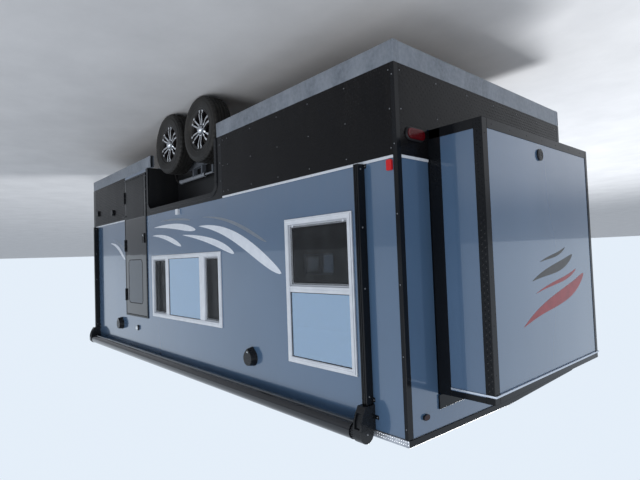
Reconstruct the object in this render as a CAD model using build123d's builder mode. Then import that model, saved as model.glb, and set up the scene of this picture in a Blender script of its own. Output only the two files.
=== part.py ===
"""A wheeled ice fishing hut with a pointed nose, a slide-out room at the rear and a tandem axle.

X runs forward to the hitch, the entry door is on the -Y side and Z is up from the ground.
The sizes of the body are measured from its own rear right-hand corner, at ground level.
"""

import os
from math import atan2, cos, radians, sin, tan

from build123d import *

# Body
BODY_WIDTH = 2591.0
SIDE_LENGTH = 6406.0
NOSE_DEPTH = 1067.0
BELT_HEIGHT = 1180.0
EAVE_HEIGHT = 3012.0
ROOF_RISE = 34.0
ROOF_THICKNESS = 82.0
WALL_THICKNESS = 60.0
FLOOR_THICKNESS = 38.0

# Skid frame
SKID_BOTTOM = 420.0
SKID_HEIGHT = 152.0
SKID_WIDTH = 51.0
SKID_WALL = 5.0
SKID_CORNER = 10.0
CROSS_MEMBER_HEIGHT = 76.0
CROSS_MEMBER_WIDTH = 51.0
CROSS_MEMBER_COUNT = 9
CROSS_START = 500.0
CROSS_END = 6150.0
OUTRIGGERS = (700.0, 1500.0, 4700.0, 5500.0)

# Wheel hubs, and the wheel wells round them
HUB_REAR = 2755.0
HUB_SPACING = 805.0
WELL_BEHIND = 438.0
WELL_AHEAD = 485.0
WELL_BELOW_BELT = 70.0
WELL_DEPTH = 400.0
WELL_LINER = 20.0
WELL_CORNER = 90.0
WELL_SKID_REAR = 39.0
WELL_SKID_FRONT = 62.0
WELL_TRIM_REAR_LEG = 137.0
WELL_TRIM_FRONT_LEG = 93.0
WELL_TRIM_PROUD = 4.0
WELL_LIP = 46.0
WELL_LIP_PROUD = 14.0

# Wheels and axles
TYRE_RADIUS = 360.0
TYRE_WIDTH = 225.0
TYRE_RECESS = 45.0
TYRE_SHOULDER = 38.0
TREAD_CORNER = 26.0
SIDEWALL_EASE = 5.0
BEAD_HEIGHT = 18.0
BARREL_HALF = 90.0
BARREL_LIP = 6.0
BARREL_LIP_HEIGHT = 15.0
RIM_SEAT_RADIUS = 188.0
RIM_WALL = 8.0
RIM_FACE_THICKNESS = 24.0
RIM_FACE_RECESS = 38.0
SPOKE_PAIRS = 6
SPOKE_TURN = -7.0
WINDOW_INNER = 78.0
WINDOW_OUTER = 172.0
WINDOW_HALF_ANGLES = (12.0, 17.5)
SLOT_INNER = 88.0
SLOT_OUTER = 172.0
SLOT_HALF_ANGLES = (4.0, 7.5)
HUB_BOSS_LENGTH = 110.0
HUB_RADIUS = 62.0
CAP_RADIUS = 44.0
CAP_LENGTH = 38.0
CAP_TAPER = 8.0
SPINDLE_RADIUS = 22.0
SPINDLE_CLEARANCE = 0.3
AXLE_TUBE = 76.0
TRAILING_ARM = 150.0
ARM_THICKNESS = 30.0
ARM_HEIGHT = 84.0
ARM_GAP = 24.0

# Lift gear on each inner rail
LIFT_BEAM_BEHIND = 145.0
LIFT_BEAM_AHEAD = 185.0
LIFT_BEAM_RISE = 83.0
LIFT_BEAM_HEIGHT = 96.0
LIFT_BEAM_THICKNESS = 50.0
LIFT_BEAM_GAP = 30.0
LIFT_BEAM_TIP = 20.0
LIFT_BEAM_TAPER = 90.0
LIFT_BRACKET_INSET = 130.0
LIFT_BRACKET_LENGTH = 80.0
LIFT_BRACKET_HEIGHT = 60.0
CYLINDER_SETBACK = 270.0
CYLINDER_LENGTH = 665.0
CYLINDER_RADIUS = 24.0
CYLINDER_RISE = 190.0
CYLINDER_LUGS = (52.0, 270.0)
ROD_RADIUS = 11.0
ROD_LENGTH = 210.0
LUG_WIDTH = 34.0
HOSE_RADIUS = 9.0
HOSE_REACH = 165.0
HOSE_END_RISE = 28.0

# Tongue, coupler and jack
TONGUE_REACH = 1180.0
TONGUE_HALF_ANGLE = 25.0
TONGUE_RAIL_HEIGHT = 102.0
TONGUE_RAIL_WIDTH = 51.0
TONGUE_BOTTOM = 455.0
TONGUE_APEX_SETBACK = 200.0
COUPLER_WIDTH = 80.0
COUPLER_BALL_RADIUS = 25.6
COUPLER_HEAD_RADIUS = 42.0
JACK_SETBACK = 430.0
JACK_TUBE_RADIUS = 30.0
JACK_INNER_RADIUS = 24.0
JACK_FOOT_RADIUS = 85.0
JACK_FOOT_THICKNESS = 10.0
JACK_SLEEVE_BOTTOM = 260.0
JACK_TOP = 985.0
JACK_CRANK_RADIUS = 9.0
JACK_CRANK_LENGTH = 170.0

# Windows in the side walls, as rear, front, bottom and top of the frame's face, and the bars
# between their panes, as the start inside the frame and the width
HUNG_WINDOW = (415.0, 1187.0, 1493.0, 2642.0)
SLIDER_WINDOW = (2248.0, 3972.0, 1713.0, 2470.0)
LEFT_WINDOW = (3300.0, 4035.0, 1726.0, 2096.0)
FRAME_FACE = 46.0
FRAME_FLANGE = 20.0
FRAME_PROUD = 18.0
SASH_RECESS = 8.0
GLASS_THICKNESS = 6.0
HUNG_RAIL = (539.0, 48.0)
SLIDER_MULLIONS = ((347.0, 111.0), (1238.0, 85.0))
LEFT_MULLION = (300.0, 83.0)
GLASS_SET_BACK = 20.0
FIXED_SET_BACK = 6.0
SASH_WIDTH = 26.0
SASH_DEPTH = 14.0
BAR_DEPTH = 40.0

# Door
DOOR_FRAME_WIDTH = 785.0
DOOR_HEAD_DROP = 496.0
DOOR_FRAME_GAP = 2.0
DOOR_FRAME_SILL = 40.0
DOOR_FRAME_FACE = 22.0
DOOR_FRAME_PROUD = 12.0
DOOR_CLEARANCE = 5.0
DOOR_THICKNESS = 44.0
DOOR_PROUD = 10.0
DOOR_WINDOW_SIZE = (504.0, 595.0)
DOOR_WINDOW_OFFSET = 15.5
DOOR_WINDOW_DROP = 176.0
DOOR_WINDOW_CORNER = 60.0
DOOR_KICK_OVER_BELT = 4.0
DOOR_KICK_PROUD = 3.0
DOOR_KICK_MARGIN = 34.0
HINGE_SHARES = (0.135, 0.4895, 0.8493)
HINGE_HEIGHT = 165.0
HINGE_RADIUS = 9.0
HINGE_PIN_RADIUS = 4.0
HINGE_PLATE = 3.0
HINGE_PLATE_WIDTH = 30.0
HINGE_STANDOFF = 10.0
HINGE_CLEARANCE = 0.5
HANDLE_RISE = 858.0
HANDLE_INSET = 82.0
HANDLE_SIZE = (70.0, 130.0)
HANDLE_PROUD = 14.0

# Slide-out room
SLIDE_RIGHT = 337.0
SLIDE_FAR_MARGIN = 480.0
SLIDE_BOTTOM = 970.0
SLIDE_TOP_DROP = 264.0
SLIDE_OUT = 403.0
SLIDE_INSIDE = 100.0
SLIDE_WALL = 38.0
SLIDE_CLEARANCE = 8.0
SLIDE_TRIM = 3.0
SLIDE_TRIM_NEAR = 61.0
SLIDE_TRIM_FAR = 46.0
SLIDE_TRIM_BOTTOM = 64.0
SLIDE_FASCIA = 44.0
SLIDE_DRIP_HEIGHT = 12.0
SLIDE_DRIP_PROUD = 10.0
SLIDE_DRIP_SIDE = 2.5
SLIDE_SEAL_LENGTH = 97.0
SLIDE_HEADER_HEIGHT = 95.0
SLIDE_HEADER_PROUD = 12.0
PORT_INSET = 816.0
PORT_RISE = 145.0
PORT_RADIUS = 43.0
PORT_PROUD = 12.0
RUNNER_WIDTH = 60.0
RUNNER_INSET = 300.0
SEAT = 0.3

# Cladding and trims
PLATE_THICKNESS = 3.0
BELT_TRIM_HEIGHT = 20.0
BELT_TRIM_PROUD = 8.0
CORNER_TRIM_REAR_LEG = 42.0
CORNER_TRIM_SIDE_LEG = 28.0
CORNER_TRIM_FRONT_LEG = 119.0
CORNER_TRIM_THICKNESS = 4.0
NOSE_TRIM_LEG = 90.0
NOSE_POST = 20.0
ROOF_EDGE_HEIGHT = 46.0
ROOF_EDGE_PROUD = 8.0
SEAM = 0.5

# Awning
AWNING_REAR_ARM = 283.0
AWNING_FRONT_ARM_SETBACK = 186.0
AWNING_ARM_WIDTH = 45.0
AWNING_ARM_DEPTH = 66.0
AWNING_FOOT_OVER_BELT = 10.0
AWNING_GROOVES = 2
GROOVE_WIDTH = 5.0
GROOVE_DEPTH = 6.0
BRACKET_REACH = 16.0
BRACKET_HEIGHT = 30.0
BRACKET_DROP = 12.0
BRACKET_THICKNESS = 5.0
AWNING_HEAD_WIDTH = 72.0
AWNING_HEAD_LENGTH = 176.0
AWNING_ROLL_RADIUS = 58.0
AWNING_ROLL_DROP = 38.0
AWNING_STAND_OFF = 148.0
AWNING_HEAD_RADIUS = 62.0
AWNING_HEAD_EDGE = 10.0
COLLAR_RADIUS = 47.0
COLLAR_LENGTH = 42.0
LEAD_RAIL_WIDTH = 26.0
LEAD_RAIL_DROP = 9.0

# Lamps under the eave, as station and drop, and small fittings, as station and height over the
# belt; the ones past the door count from its frame
REAR_PORCH_LAMP = (1727.0, 336.0)
FRONT_PORCH_LAMP = (205.0, 364.0)
PORCH_LAMP_WIDTH = 150.0
PORCH_LAMP_HEIGHT = 172.0
PORCH_LAMP_DEPTH = 62.0
PORCH_LAMP_TIP_RADIUS = 22.0
PORCH_LAMP_TAPER = 10.0
ROUND_LAMP = (-417.0, 349.0)
ROUND_LAMP_RADIUS = 38.0
ROUND_LAMP_DEPTH = 24.0
ROUND_LAMP_TAPER = 20.0
TAIL_LAMP = (190.0, -159.0)
TAIL_LAMP_SIZE = (180.0, 70.0)
TAIL_LAMP_DEPTH = 20.0
CLEARANCE_LAMP = (178.0, 146.0)
CLEARANCE_LAMP_SIZE = (60.0, 34.0)
CLEARANCE_LAMP_DEPTH = 16.0
SIDE_MARKER = (58.0, 53.0)
SIDE_MARKER_SIZE = (44.0, 70.0)
ROUND_INLET = (512.0, -157.0)
ROUND_INLET_RADIUS = 45.0
OVAL_INLET_SETBACK = 257.0
OVAL_INLET_DROP = 210.0
OVAL_INLET_SIZE = (60.0, 90.0)
WHITE_BOX = (3189.0, 48.0)
WHITE_BOX_SIZE = (64.0, 64.0)
FITTING_DEPTH = 26.0
CATCH_UNDER_BELT = 52.0
CATCH_LENGTH = 90.0
CATCH_DOOR_LENGTH = 34.0
CATCH_DOOR_DEPTH = 10.0
CATCH_WALL_DEPTH = 12.0
CATCH_SECTION = 22.0

# Places worked out from the sizes above
LEFT_STAND_OFF = FRAME_PROUD
REAR_REACH = SLIDE_OUT + SLIDE_DRIP_PROUD
OVERALL_LENGTH = REAR_REACH + SIDE_LENGTH + NOSE_DEPTH + TONGUE_REACH
REAR_X = REAR_REACH - OVERALL_LENGTH / 2
RIGHT_Y = AWNING_STAND_OFF - (AWNING_STAND_OFF + BODY_WIDTH + LEFT_STAND_OFF) / 2
HALF_WIDTH = BODY_WIDTH / 2
SKID_TOP = SKID_BOTTOM + SKID_HEIGHT
WALL_TOP = EAVE_HEIGHT - ROOF_EDGE_HEIGHT
CEILING_HEIGHT = EAVE_HEIGHT - ROOF_THICKNESS
NOSE_ANGLE = atan2(HALF_WIDTH, NOSE_DEPTH)
NOSE_TIP = SIDE_LENGTH + NOSE_DEPTH
HUB_FRONT = HUB_REAR + HUB_SPACING
WELL_REAR = HUB_REAR - WELL_BEHIND
WELL_FRONT = HUB_FRONT + WELL_AHEAD
WELL_TOP = BELT_HEIGHT - WELL_BELOW_BELT
WELL_MIDDLE = (WELL_REAR + WELL_FRONT) / 2
WELL_TRIM_REAR = WELL_REAR - WELL_TRIM_REAR_LEG
WELL_TRIM_FRONT = WELL_FRONT + WELL_TRIM_FRONT_LEG
LINER_REAR = WELL_REAR - WELL_LINER
LINER_FRONT = WELL_FRONT + WELL_LINER
LINER_TOP = WELL_TOP + WELL_LINER
DOOR_FRAME_REAR = WELL_TRIM_FRONT + DOOR_FRAME_GAP
DOOR_FRAME_FRONT = DOOR_FRAME_REAR + DOOR_FRAME_WIDTH
DOOR_FRAME_BOTTOM = SKID_TOP + DOOR_FRAME_SILL
DOOR_FRAME_TOP = EAVE_HEIGHT - DOOR_HEAD_DROP
DOOR_FRAME = (DOOR_FRAME_REAR, DOOR_FRAME_FRONT, DOOR_FRAME_BOTTOM, DOOR_FRAME_TOP)
SLIDE_LEFT = BODY_WIDTH - SLIDE_FAR_MARGIN
SLIDE_TOP = EAVE_HEIGHT - SLIDE_TOP_DROP
FAR_ABOVE = 2 * EAVE_HEIGHT
FAR_AHEAD = 2 * OVERALL_LENGTH

# The three planes that every sketch is placed from, and the plane of symmetry
PLAN = Plane(origin=(REAR_X, RIGHT_Y, 0), x_dir=(1, 0, 0), z_dir=(0, 0, 1))
SIDE = Plane(origin=(REAR_X, RIGHT_Y, 0), x_dir=(1, 0, 0), z_dir=(0, -1, 0))
LEFT = SIDE.offset(-BODY_WIDTH)
REAR = Plane(origin=(REAR_X, RIGHT_Y, 0), x_dir=(0, 1, 0), z_dir=(1, 0, 0))
CENTRE = SIDE.offset(-HALF_WIDTH)


def area(low_u, high_u, low_v, high_v, mode=Mode.ADD):
    """Adds a rectangle given by its edges to the sketch."""
    with Locations(((low_u + high_u) / 2, (low_v + high_v) / 2)):
        Rectangle(high_u - low_u, high_v - low_v, mode=mode)


def plan_points(inset):
    """Gives the corners of the body's plan, moved in by an inset."""
    tip = NOSE_TIP - inset / sin(NOSE_ANGLE)
    shoulder = tip - (HALF_WIDTH - inset) / tan(NOSE_ANGLE)
    right = [(inset, inset), (shoulder, inset), (tip, HALF_WIDTH)]
    left = [(shoulder, BODY_WIDTH - inset), (inset, BODY_WIDTH - inset)]
    return right + left


def plan_outline(inset, mode=Mode.ADD):
    """Adds the body's plan, moved in by an inset, to the sketch."""
    Polygon(*plan_points(inset), align=None, mode=mode)


def gable(edge):
    """Gives the corners of the body's end, up to a gable whose edge lies at a height."""
    low, high = -ROOF_EDGE_PROUD, BODY_WIDTH + ROOF_EDGE_PROUD
    return [(low, 0), (high, 0), (high, edge), (HALF_WIDTH, edge + ROOF_RISE), (low, edge)]


def over_belt(place):
    """Gives a place on a wall from its station and its height over the belt."""
    return (place[0], BELT_HEIGHT + place[1])


def under_eave(place):
    """Gives a place on a wall from its station and its drop under the eave."""
    return (place[0], EAVE_HEIGHT - place[1])


def past_door(place):
    """Counts a place's station from the front edge of the door's frame."""
    return (DOOR_FRAME_FRONT + place[0], place[1])


os.makedirs("parts", exist_ok=True)

# Roof line: the gable's outline up to the roof's edge, and up to its top
RIDGE_START = REAR.offset(-ROOF_EDGE_PROUD)
RIDGE_LENGTH = NOSE_TIP + 2 * ROOF_EDGE_PROUD / sin(NOSE_ANGLE)
with BuildSketch(RIDGE_START) as under_roof:
    Polygon(*gable(WALL_TOP), align=None)
with BuildSketch(RIDGE_START) as to_roof_top:
    Polygon(*gable(EAVE_HEIGHT), align=None)

# Wall line: all the walls as one ring, which the nose walls and the roof are cut from
with BuildPart() as wall_ring:
    with BuildSketch(PLAN.offset(SKID_TOP)):
        plan_outline(0)
        plan_outline(WALL_THICKNESS, mode=Mode.SUBTRACT)
    extrude(amount=EAVE_HEIGHT - SKID_TOP)
    extrude(under_roof.sketch, amount=RIDGE_LENGTH, mode=Mode.INTERSECT)

# Side skids: steel box rails with a gap at each wheel well
with BuildPart() as side_skids:
    for start, end in ((0, WELL_REAR - WELL_SKID_REAR), (WELL_FRONT - WELL_SKID_FRONT, SIDE_LENGTH)):
        with BuildSketch(REAR.offset(start)):
            with Locations((SKID_WIDTH / 2, SKID_BOTTOM + SKID_HEIGHT / 2)):
                RectangleRounded(SKID_WIDTH, SKID_HEIGHT, SKID_CORNER)
                RectangleRounded(
                    SKID_WIDTH - 2 * SKID_WALL,
                    SKID_HEIGHT - 2 * SKID_WALL,
                    SKID_CORNER - SKID_WALL,
                    mode=Mode.SUBTRACT,
                )
        extrude(amount=end - start)
    mirror(about=CENTRE)
side_skids.part.label = "side_skids"
export_step(side_skids.part, "parts/side_skids.step")

# End skids: the rear rail, and the two rails under the nose
with BuildPart() as end_skids:
    with BuildSketch(PLAN.offset(SKID_BOTTOM)):
        area(0, SKID_WIDTH, SKID_WIDTH, BODY_WIDTH - SKID_WIDTH)
        plan_outline(0)
        plan_outline(SKID_WIDTH, mode=Mode.SUBTRACT)
        area(SKID_WIDTH, SIDE_LENGTH, 0, BODY_WIDTH, mode=Mode.SUBTRACT)
        area(0, SKID_WIDTH, 0, SKID_WIDTH, mode=Mode.SUBTRACT)
        area(0, SKID_WIDTH, BODY_WIDTH - SKID_WIDTH, BODY_WIDTH, mode=Mode.SUBTRACT)
        area(SIDE_LENGTH, NOSE_TIP, HALF_WIDTH - SEAM, HALF_WIDTH + SEAM, mode=Mode.SUBTRACT)
    extrude(amount=SKID_HEIGHT)
end_skids.part.label = "end_skids"
export_step(end_skids.part, "parts/end_skids.step")

# Main rails: two inner rails that carry the floor and the axles
RAIL_REAR = SKID_WIDTH
RAIL_INNER = WELL_DEPTH + SKID_WIDTH
with BuildPart() as main_rails:
    with BuildSketch(REAR.offset(RAIL_REAR)):
        with Locations((WELL_DEPTH + SKID_WIDTH / 2, SKID_BOTTOM + SKID_HEIGHT / 2)):
            RectangleRounded(SKID_WIDTH, SKID_HEIGHT, SKID_CORNER)
    extrude(amount=NOSE_TIP - RAIL_REAR)
    with BuildSketch(PLAN.offset(SKID_BOTTOM)):
        plan_outline(SKID_WIDTH)
    extrude(amount=SKID_HEIGHT, mode=Mode.INTERSECT)
    mirror(about=CENTRE)
main_rails.part.label = "main_rails"
export_step(main_rails.part, "parts/main_rails.step")

# Cross members between the main rails, and outriggers from them to the side skids
CROSS_SPACING = (CROSS_END - CROSS_START) / (CROSS_MEMBER_COUNT - 1)
with BuildPart() as cross_members:
    with BuildSketch(PLAN.offset(SKID_TOP)):
        for step in range(CROSS_MEMBER_COUNT):
            with Locations((CROSS_START + step * CROSS_SPACING, HALF_WIDTH)):
                Rectangle(CROSS_MEMBER_WIDTH, BODY_WIDTH - 2 * RAIL_INNER)
        for station in OUTRIGGERS:
            for centre in ((SKID_WIDTH + WELL_DEPTH) / 2, BODY_WIDTH - (SKID_WIDTH + WELL_DEPTH) / 2):
                with Locations((station, centre)):
                    Rectangle(CROSS_MEMBER_WIDTH, WELL_DEPTH - SKID_WIDTH)
    extrude(amount=-CROSS_MEMBER_HEIGHT)
cross_members.part.label = "cross_members"
export_step(cross_members.part, "parts/cross_members.step")

# Floor deck, with a notch for each wheel well
with BuildPart() as floor_deck:
    with BuildSketch(PLAN.offset(SKID_TOP)):
        plan_outline(WALL_THICKNESS)
        area(LINER_REAR, LINER_FRONT, 0, WELL_DEPTH + WELL_LINER, mode=Mode.SUBTRACT)
        area(
            LINER_REAR,
            LINER_FRONT,
            BODY_WIDTH - WELL_DEPTH - WELL_LINER,
            BODY_WIDTH,
            mode=Mode.SUBTRACT,
        )
    extrude(amount=FLOOR_THICKNESS)
floor_deck.part.label = "floor_deck"
export_step(floor_deck.part, "parts/floor_deck.step")

# Wheel boxes: the linings that close the wheel wells off from the room
with BuildPart() as wheel_boxes:
    with BuildSketch(PLAN.offset(SKID_TOP)):
        area(LINER_REAR, LINER_FRONT, 0, WELL_DEPTH + WELL_LINER)
    extrude(amount=LINER_TOP - SKID_TOP)
    with BuildSketch(SIDE):
        area(WELL_REAR, WELL_FRONT, SKID_BOTTOM, WELL_TOP)
    extrude(amount=-WELL_DEPTH, mode=Mode.SUBTRACT)
    mirror(about=CENTRE)
wheel_boxes.part.label = "wheel_boxes"
export_step(wheel_boxes.part, "parts/wheel_boxes.step")


def opening(window, margin):
    """Gives a window's edges, moved in by a margin."""
    rear, front, bottom, top = window
    return (rear + margin, front - margin, bottom + margin, top - margin)


# Right wall beside the wheel well and the door: one panel behind them and one ahead
DOOR_HOLE_REAR = DOOR_FRAME_REAR + DOOR_FRAME_FACE / 2
DOOR_HOLE_FRONT = DOOR_FRAME_FRONT - DOOR_FRAME_FACE / 2
DOOR_HOLE_BOTTOM = DOOR_FRAME_BOTTOM + DOOR_FRAME_FACE / 2
DOOR_HOLE_TOP = DOOR_FRAME_TOP - DOOR_FRAME_FACE / 2
with BuildPart() as right_wall_rear:
    with BuildSketch(SIDE):
        area(0, LINER_REAR, SKID_TOP, EAVE_HEIGHT)
        for window in (HUNG_WINDOW, SLIDER_WINDOW):
            area(*opening(window, FRAME_FLANGE), mode=Mode.SUBTRACT)
    extrude(amount=-WALL_THICKNESS)
    extrude(under_roof.sketch, amount=RIDGE_LENGTH, mode=Mode.INTERSECT)
right_wall_rear.part.label = "right_wall_rear"
export_step(right_wall_rear.part, "parts/right_wall_rear.step")

with BuildPart() as right_wall_middle:
    with BuildSketch(SIDE):
        area(LINER_REAR, LINER_FRONT, LINER_TOP, EAVE_HEIGHT)
        for window in (HUNG_WINDOW, SLIDER_WINDOW):
            area(*opening(window, FRAME_FLANGE), mode=Mode.SUBTRACT)
    extrude(amount=-WALL_THICKNESS)
    extrude(under_roof.sketch, amount=RIDGE_LENGTH, mode=Mode.INTERSECT)
right_wall_middle.part.label = "right_wall_middle"
export_step(right_wall_middle.part, "parts/right_wall_middle.step")

with BuildPart() as right_wall_post:
    with BuildSketch(SIDE):
        area(LINER_FRONT, DOOR_HOLE_REAR, SKID_TOP, EAVE_HEIGHT)
        area(*opening(SLIDER_WINDOW, FRAME_FLANGE), mode=Mode.SUBTRACT)
    extrude(amount=-WALL_THICKNESS)
    extrude(under_roof.sketch, amount=RIDGE_LENGTH, mode=Mode.INTERSECT)
right_wall_post.part.label = "right_wall_post"
export_step(right_wall_post.part, "parts/right_wall_post.step")

with BuildPart() as right_wall_door_bands:
    with BuildSketch(SIDE):
        area(DOOR_HOLE_REAR, DOOR_HOLE_FRONT, DOOR_HOLE_TOP, EAVE_HEIGHT)
        area(DOOR_HOLE_REAR, DOOR_HOLE_FRONT, SKID_TOP, DOOR_HOLE_BOTTOM)
    extrude(amount=-WALL_THICKNESS)
    extrude(under_roof.sketch, amount=RIDGE_LENGTH, mode=Mode.INTERSECT)
right_wall_door_bands.part.label = "right_wall_door_bands"
export_step(right_wall_door_bands.part, "parts/right_wall_door_bands.step")

with BuildPart() as right_wall_front:
    with BuildSketch(SIDE):
        area(DOOR_HOLE_FRONT, SIDE_LENGTH, SKID_TOP, EAVE_HEIGHT)
    extrude(amount=-WALL_THICKNESS)
    extrude(under_roof.sketch, amount=RIDGE_LENGTH, mode=Mode.INTERSECT)
right_wall_front.part.label = "right_wall_front"
export_step(right_wall_front.part, "parts/right_wall_front.step")

# Left wall, with one small window and no door
with BuildPart() as left_wall_ends:
    with BuildSketch(LEFT):
        area(0, LINER_REAR, SKID_TOP, EAVE_HEIGHT)
        area(LINER_FRONT, SIDE_LENGTH, SKID_TOP, EAVE_HEIGHT)
    extrude(amount=WALL_THICKNESS)
    extrude(under_roof.sketch, amount=RIDGE_LENGTH, mode=Mode.INTERSECT)
left_wall_ends.part.label = "left_wall_ends"
export_step(left_wall_ends.part, "parts/left_wall_ends.step")

with BuildPart() as left_wall_middle:
    with BuildSketch(LEFT):
        area(LINER_REAR, LINER_FRONT, LINER_TOP, EAVE_HEIGHT)
        area(*opening(LEFT_WINDOW, FRAME_FLANGE), mode=Mode.SUBTRACT)
    extrude(amount=WALL_THICKNESS)
    extrude(under_roof.sketch, amount=RIDGE_LENGTH, mode=Mode.INTERSECT)
left_wall_middle.part.label = "left_wall_middle"
export_step(left_wall_middle.part, "parts/left_wall_middle.step")

# Rear wall round the slide-out room
HOLE_RIGHT = SLIDE_RIGHT - SLIDE_CLEARANCE
HOLE_LEFT = SLIDE_LEFT + SLIDE_CLEARANCE
HOLE_BOTTOM = SLIDE_BOTTOM - SLIDE_CLEARANCE
HOLE_TOP = SLIDE_TOP + SLIDE_CLEARANCE
with BuildPart() as rear_wall_posts:
    with BuildSketch(REAR):
        area(WALL_THICKNESS, HOLE_RIGHT, SKID_TOP, EAVE_HEIGHT)
        area(HOLE_LEFT, BODY_WIDTH - WALL_THICKNESS, SKID_TOP, EAVE_HEIGHT)
    extrude(amount=WALL_THICKNESS)
    extrude(under_roof.sketch, amount=RIDGE_LENGTH, mode=Mode.INTERSECT)
rear_wall_posts.part.label = "rear_wall_posts"
export_step(rear_wall_posts.part, "parts/rear_wall_posts.step")

with BuildPart() as rear_wall_bands:
    with BuildSketch(REAR):
        area(HOLE_RIGHT, HOLE_LEFT, SKID_TOP, HOLE_BOTTOM)
        area(HOLE_RIGHT, HOLE_LEFT, HOLE_TOP, EAVE_HEIGHT)
    extrude(amount=WALL_THICKNESS)
    extrude(under_roof.sketch, amount=RIDGE_LENGTH, mode=Mode.INTERSECT)
rear_wall_bands.part.label = "rear_wall_bands"
export_step(rear_wall_bands.part, "parts/rear_wall_bands.step")

# Nose walls: the two walls of the pointed front, parted for the post between them
POST_RIGHT = HALF_WIDTH - NOSE_POST / 2
POST_LEFT = HALF_WIDTH + NOSE_POST / 2
with BuildPart() as nose_walls:
    add(wall_ring.part)
    with BuildSketch(PLAN):
        area(SIDE_LENGTH, NOSE_TIP, 0, POST_RIGHT)
        area(SIDE_LENGTH, NOSE_TIP, POST_LEFT, BODY_WIDTH)
    extrude(amount=FAR_ABOVE, mode=Mode.INTERSECT)
nose_walls.part.label = "nose_walls"
export_step(nose_walls.part, "parts/nose_walls.step")

# Roof: a low gabled slab that sits between the walls, with an edge that lies on them
with BuildPart() as roof:
    with BuildSketch(PLAN.offset(CEILING_HEIGHT)):
        plan_outline(0)
    extrude(amount=EAVE_HEIGHT + ROOF_RISE - CEILING_HEIGHT)
    extrude(to_roof_top.sketch, amount=RIDGE_LENGTH, mode=Mode.INTERSECT)
    add(wall_ring.part, mode=Mode.SUBTRACT)
roof.part.label = "roof"
export_step(roof.part, "parts/roof.step")

# Roof edge: the drip edge that wraps the roof all round
with BuildPart() as roof_edge:
    with BuildSketch(PLAN.offset(SKID_TOP)):
        plan_outline(-ROOF_EDGE_PROUD)
        plan_outline(0, mode=Mode.SUBTRACT)
    extrude(amount=EAVE_HEIGHT + ROOF_RISE - SKID_TOP)
    extrude(to_roof_top.sketch, amount=RIDGE_LENGTH, mode=Mode.INTERSECT)
    extrude(under_roof.sketch, amount=RIDGE_LENGTH, mode=Mode.SUBTRACT)
roof_edge.part.label = "roof_edge"
export_step(roof_edge.part, "parts/roof_edge.step")

# Lower panels: embossed plate from the skids up to the belt line
PANEL_TOP = BELT_HEIGHT - BELT_TRIM_HEIGHT / 2
PANEL_FRONT = SIDE_LENGTH - CORNER_TRIM_FRONT_LEG
with BuildPart() as lower_panels:
    with BuildSketch(SIDE):
        area(CORNER_TRIM_SIDE_LEG, WELL_TRIM_REAR, SKID_TOP, PANEL_TOP)
        area(DOOR_FRAME_FRONT, PANEL_FRONT, SKID_TOP, PANEL_TOP)
    extrude(amount=PLATE_THICKNESS)
    with BuildSketch(LEFT):
        area(CORNER_TRIM_SIDE_LEG, WELL_TRIM_REAR, SKID_TOP, PANEL_TOP)
        area(WELL_TRIM_FRONT, PANEL_FRONT, SKID_TOP, PANEL_TOP)
    extrude(amount=-PLATE_THICKNESS)
    with BuildSketch(REAR):
        area(CORNER_TRIM_REAR_LEG, BODY_WIDTH - CORNER_TRIM_REAR_LEG, SKID_TOP, HOLE_BOTTOM - SEAM)
        area(CORNER_TRIM_REAR_LEG, HOLE_RIGHT, HOLE_BOTTOM, PANEL_TOP)
        area(HOLE_LEFT, BODY_WIDTH - CORNER_TRIM_REAR_LEG, HOLE_BOTTOM, PANEL_TOP)
    extrude(amount=-PLATE_THICKNESS)
    with BuildSketch(PLAN.offset(SKID_TOP)):
        plan_outline(-PLATE_THICKNESS)
        plan_outline(0, mode=Mode.SUBTRACT)
        area(-FAR_AHEAD, SIDE_LENGTH + CORNER_TRIM_SIDE_LEG, -BODY_WIDTH, 2 * BODY_WIDTH, mode=Mode.SUBTRACT)
        area(
            SIDE_LENGTH,
            FAR_AHEAD,
            HALF_WIDTH - NOSE_TRIM_LEG,
            HALF_WIDTH + NOSE_TRIM_LEG,
            mode=Mode.SUBTRACT,
        )
    extrude(amount=PANEL_TOP - SKID_TOP)
lower_panels.part.label = "lower_panels"
export_step(lower_panels.part, "parts/lower_panels.step")

# Belt trims: the bright rail that covers the joint over the lower panels
with BuildPart() as belt_trims:
    with BuildSketch(PLAN.offset(PANEL_TOP)):
        plan_outline(-BELT_TRIM_PROUD)
        plan_outline(0, mode=Mode.SUBTRACT)
        area(-FAR_AHEAD, CORNER_TRIM_SIDE_LEG, -BODY_WIDTH, CORNER_TRIM_REAR_LEG, mode=Mode.SUBTRACT)
        area(
            -FAR_AHEAD,
            CORNER_TRIM_SIDE_LEG,
            BODY_WIDTH - CORNER_TRIM_REAR_LEG,
            2 * BODY_WIDTH,
            mode=Mode.SUBTRACT,
        )
        area(-FAR_AHEAD, 0, HOLE_RIGHT, HOLE_LEFT, mode=Mode.SUBTRACT)
        area(WELL_TRIM_REAR, DOOR_FRAME_FRONT, -BODY_WIDTH, 0, mode=Mode.SUBTRACT)
        area(WELL_TRIM_REAR, WELL_TRIM_FRONT, BODY_WIDTH, 2 * BODY_WIDTH, mode=Mode.SUBTRACT)
        area(
            PANEL_FRONT,
            SIDE_LENGTH + CORNER_TRIM_SIDE_LEG,
            -BODY_WIDTH,
            2 * BODY_WIDTH,
            mode=Mode.SUBTRACT,
        )
        area(
            SIDE_LENGTH,
            FAR_AHEAD,
            HALF_WIDTH - NOSE_TRIM_LEG,
            HALF_WIDTH + NOSE_TRIM_LEG,
            mode=Mode.SUBTRACT,
        )
    extrude(amount=BELT_TRIM_HEIGHT)
belt_trims.part.label = "belt_trims"
export_step(belt_trims.part, "parts/belt_trims.step")

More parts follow.
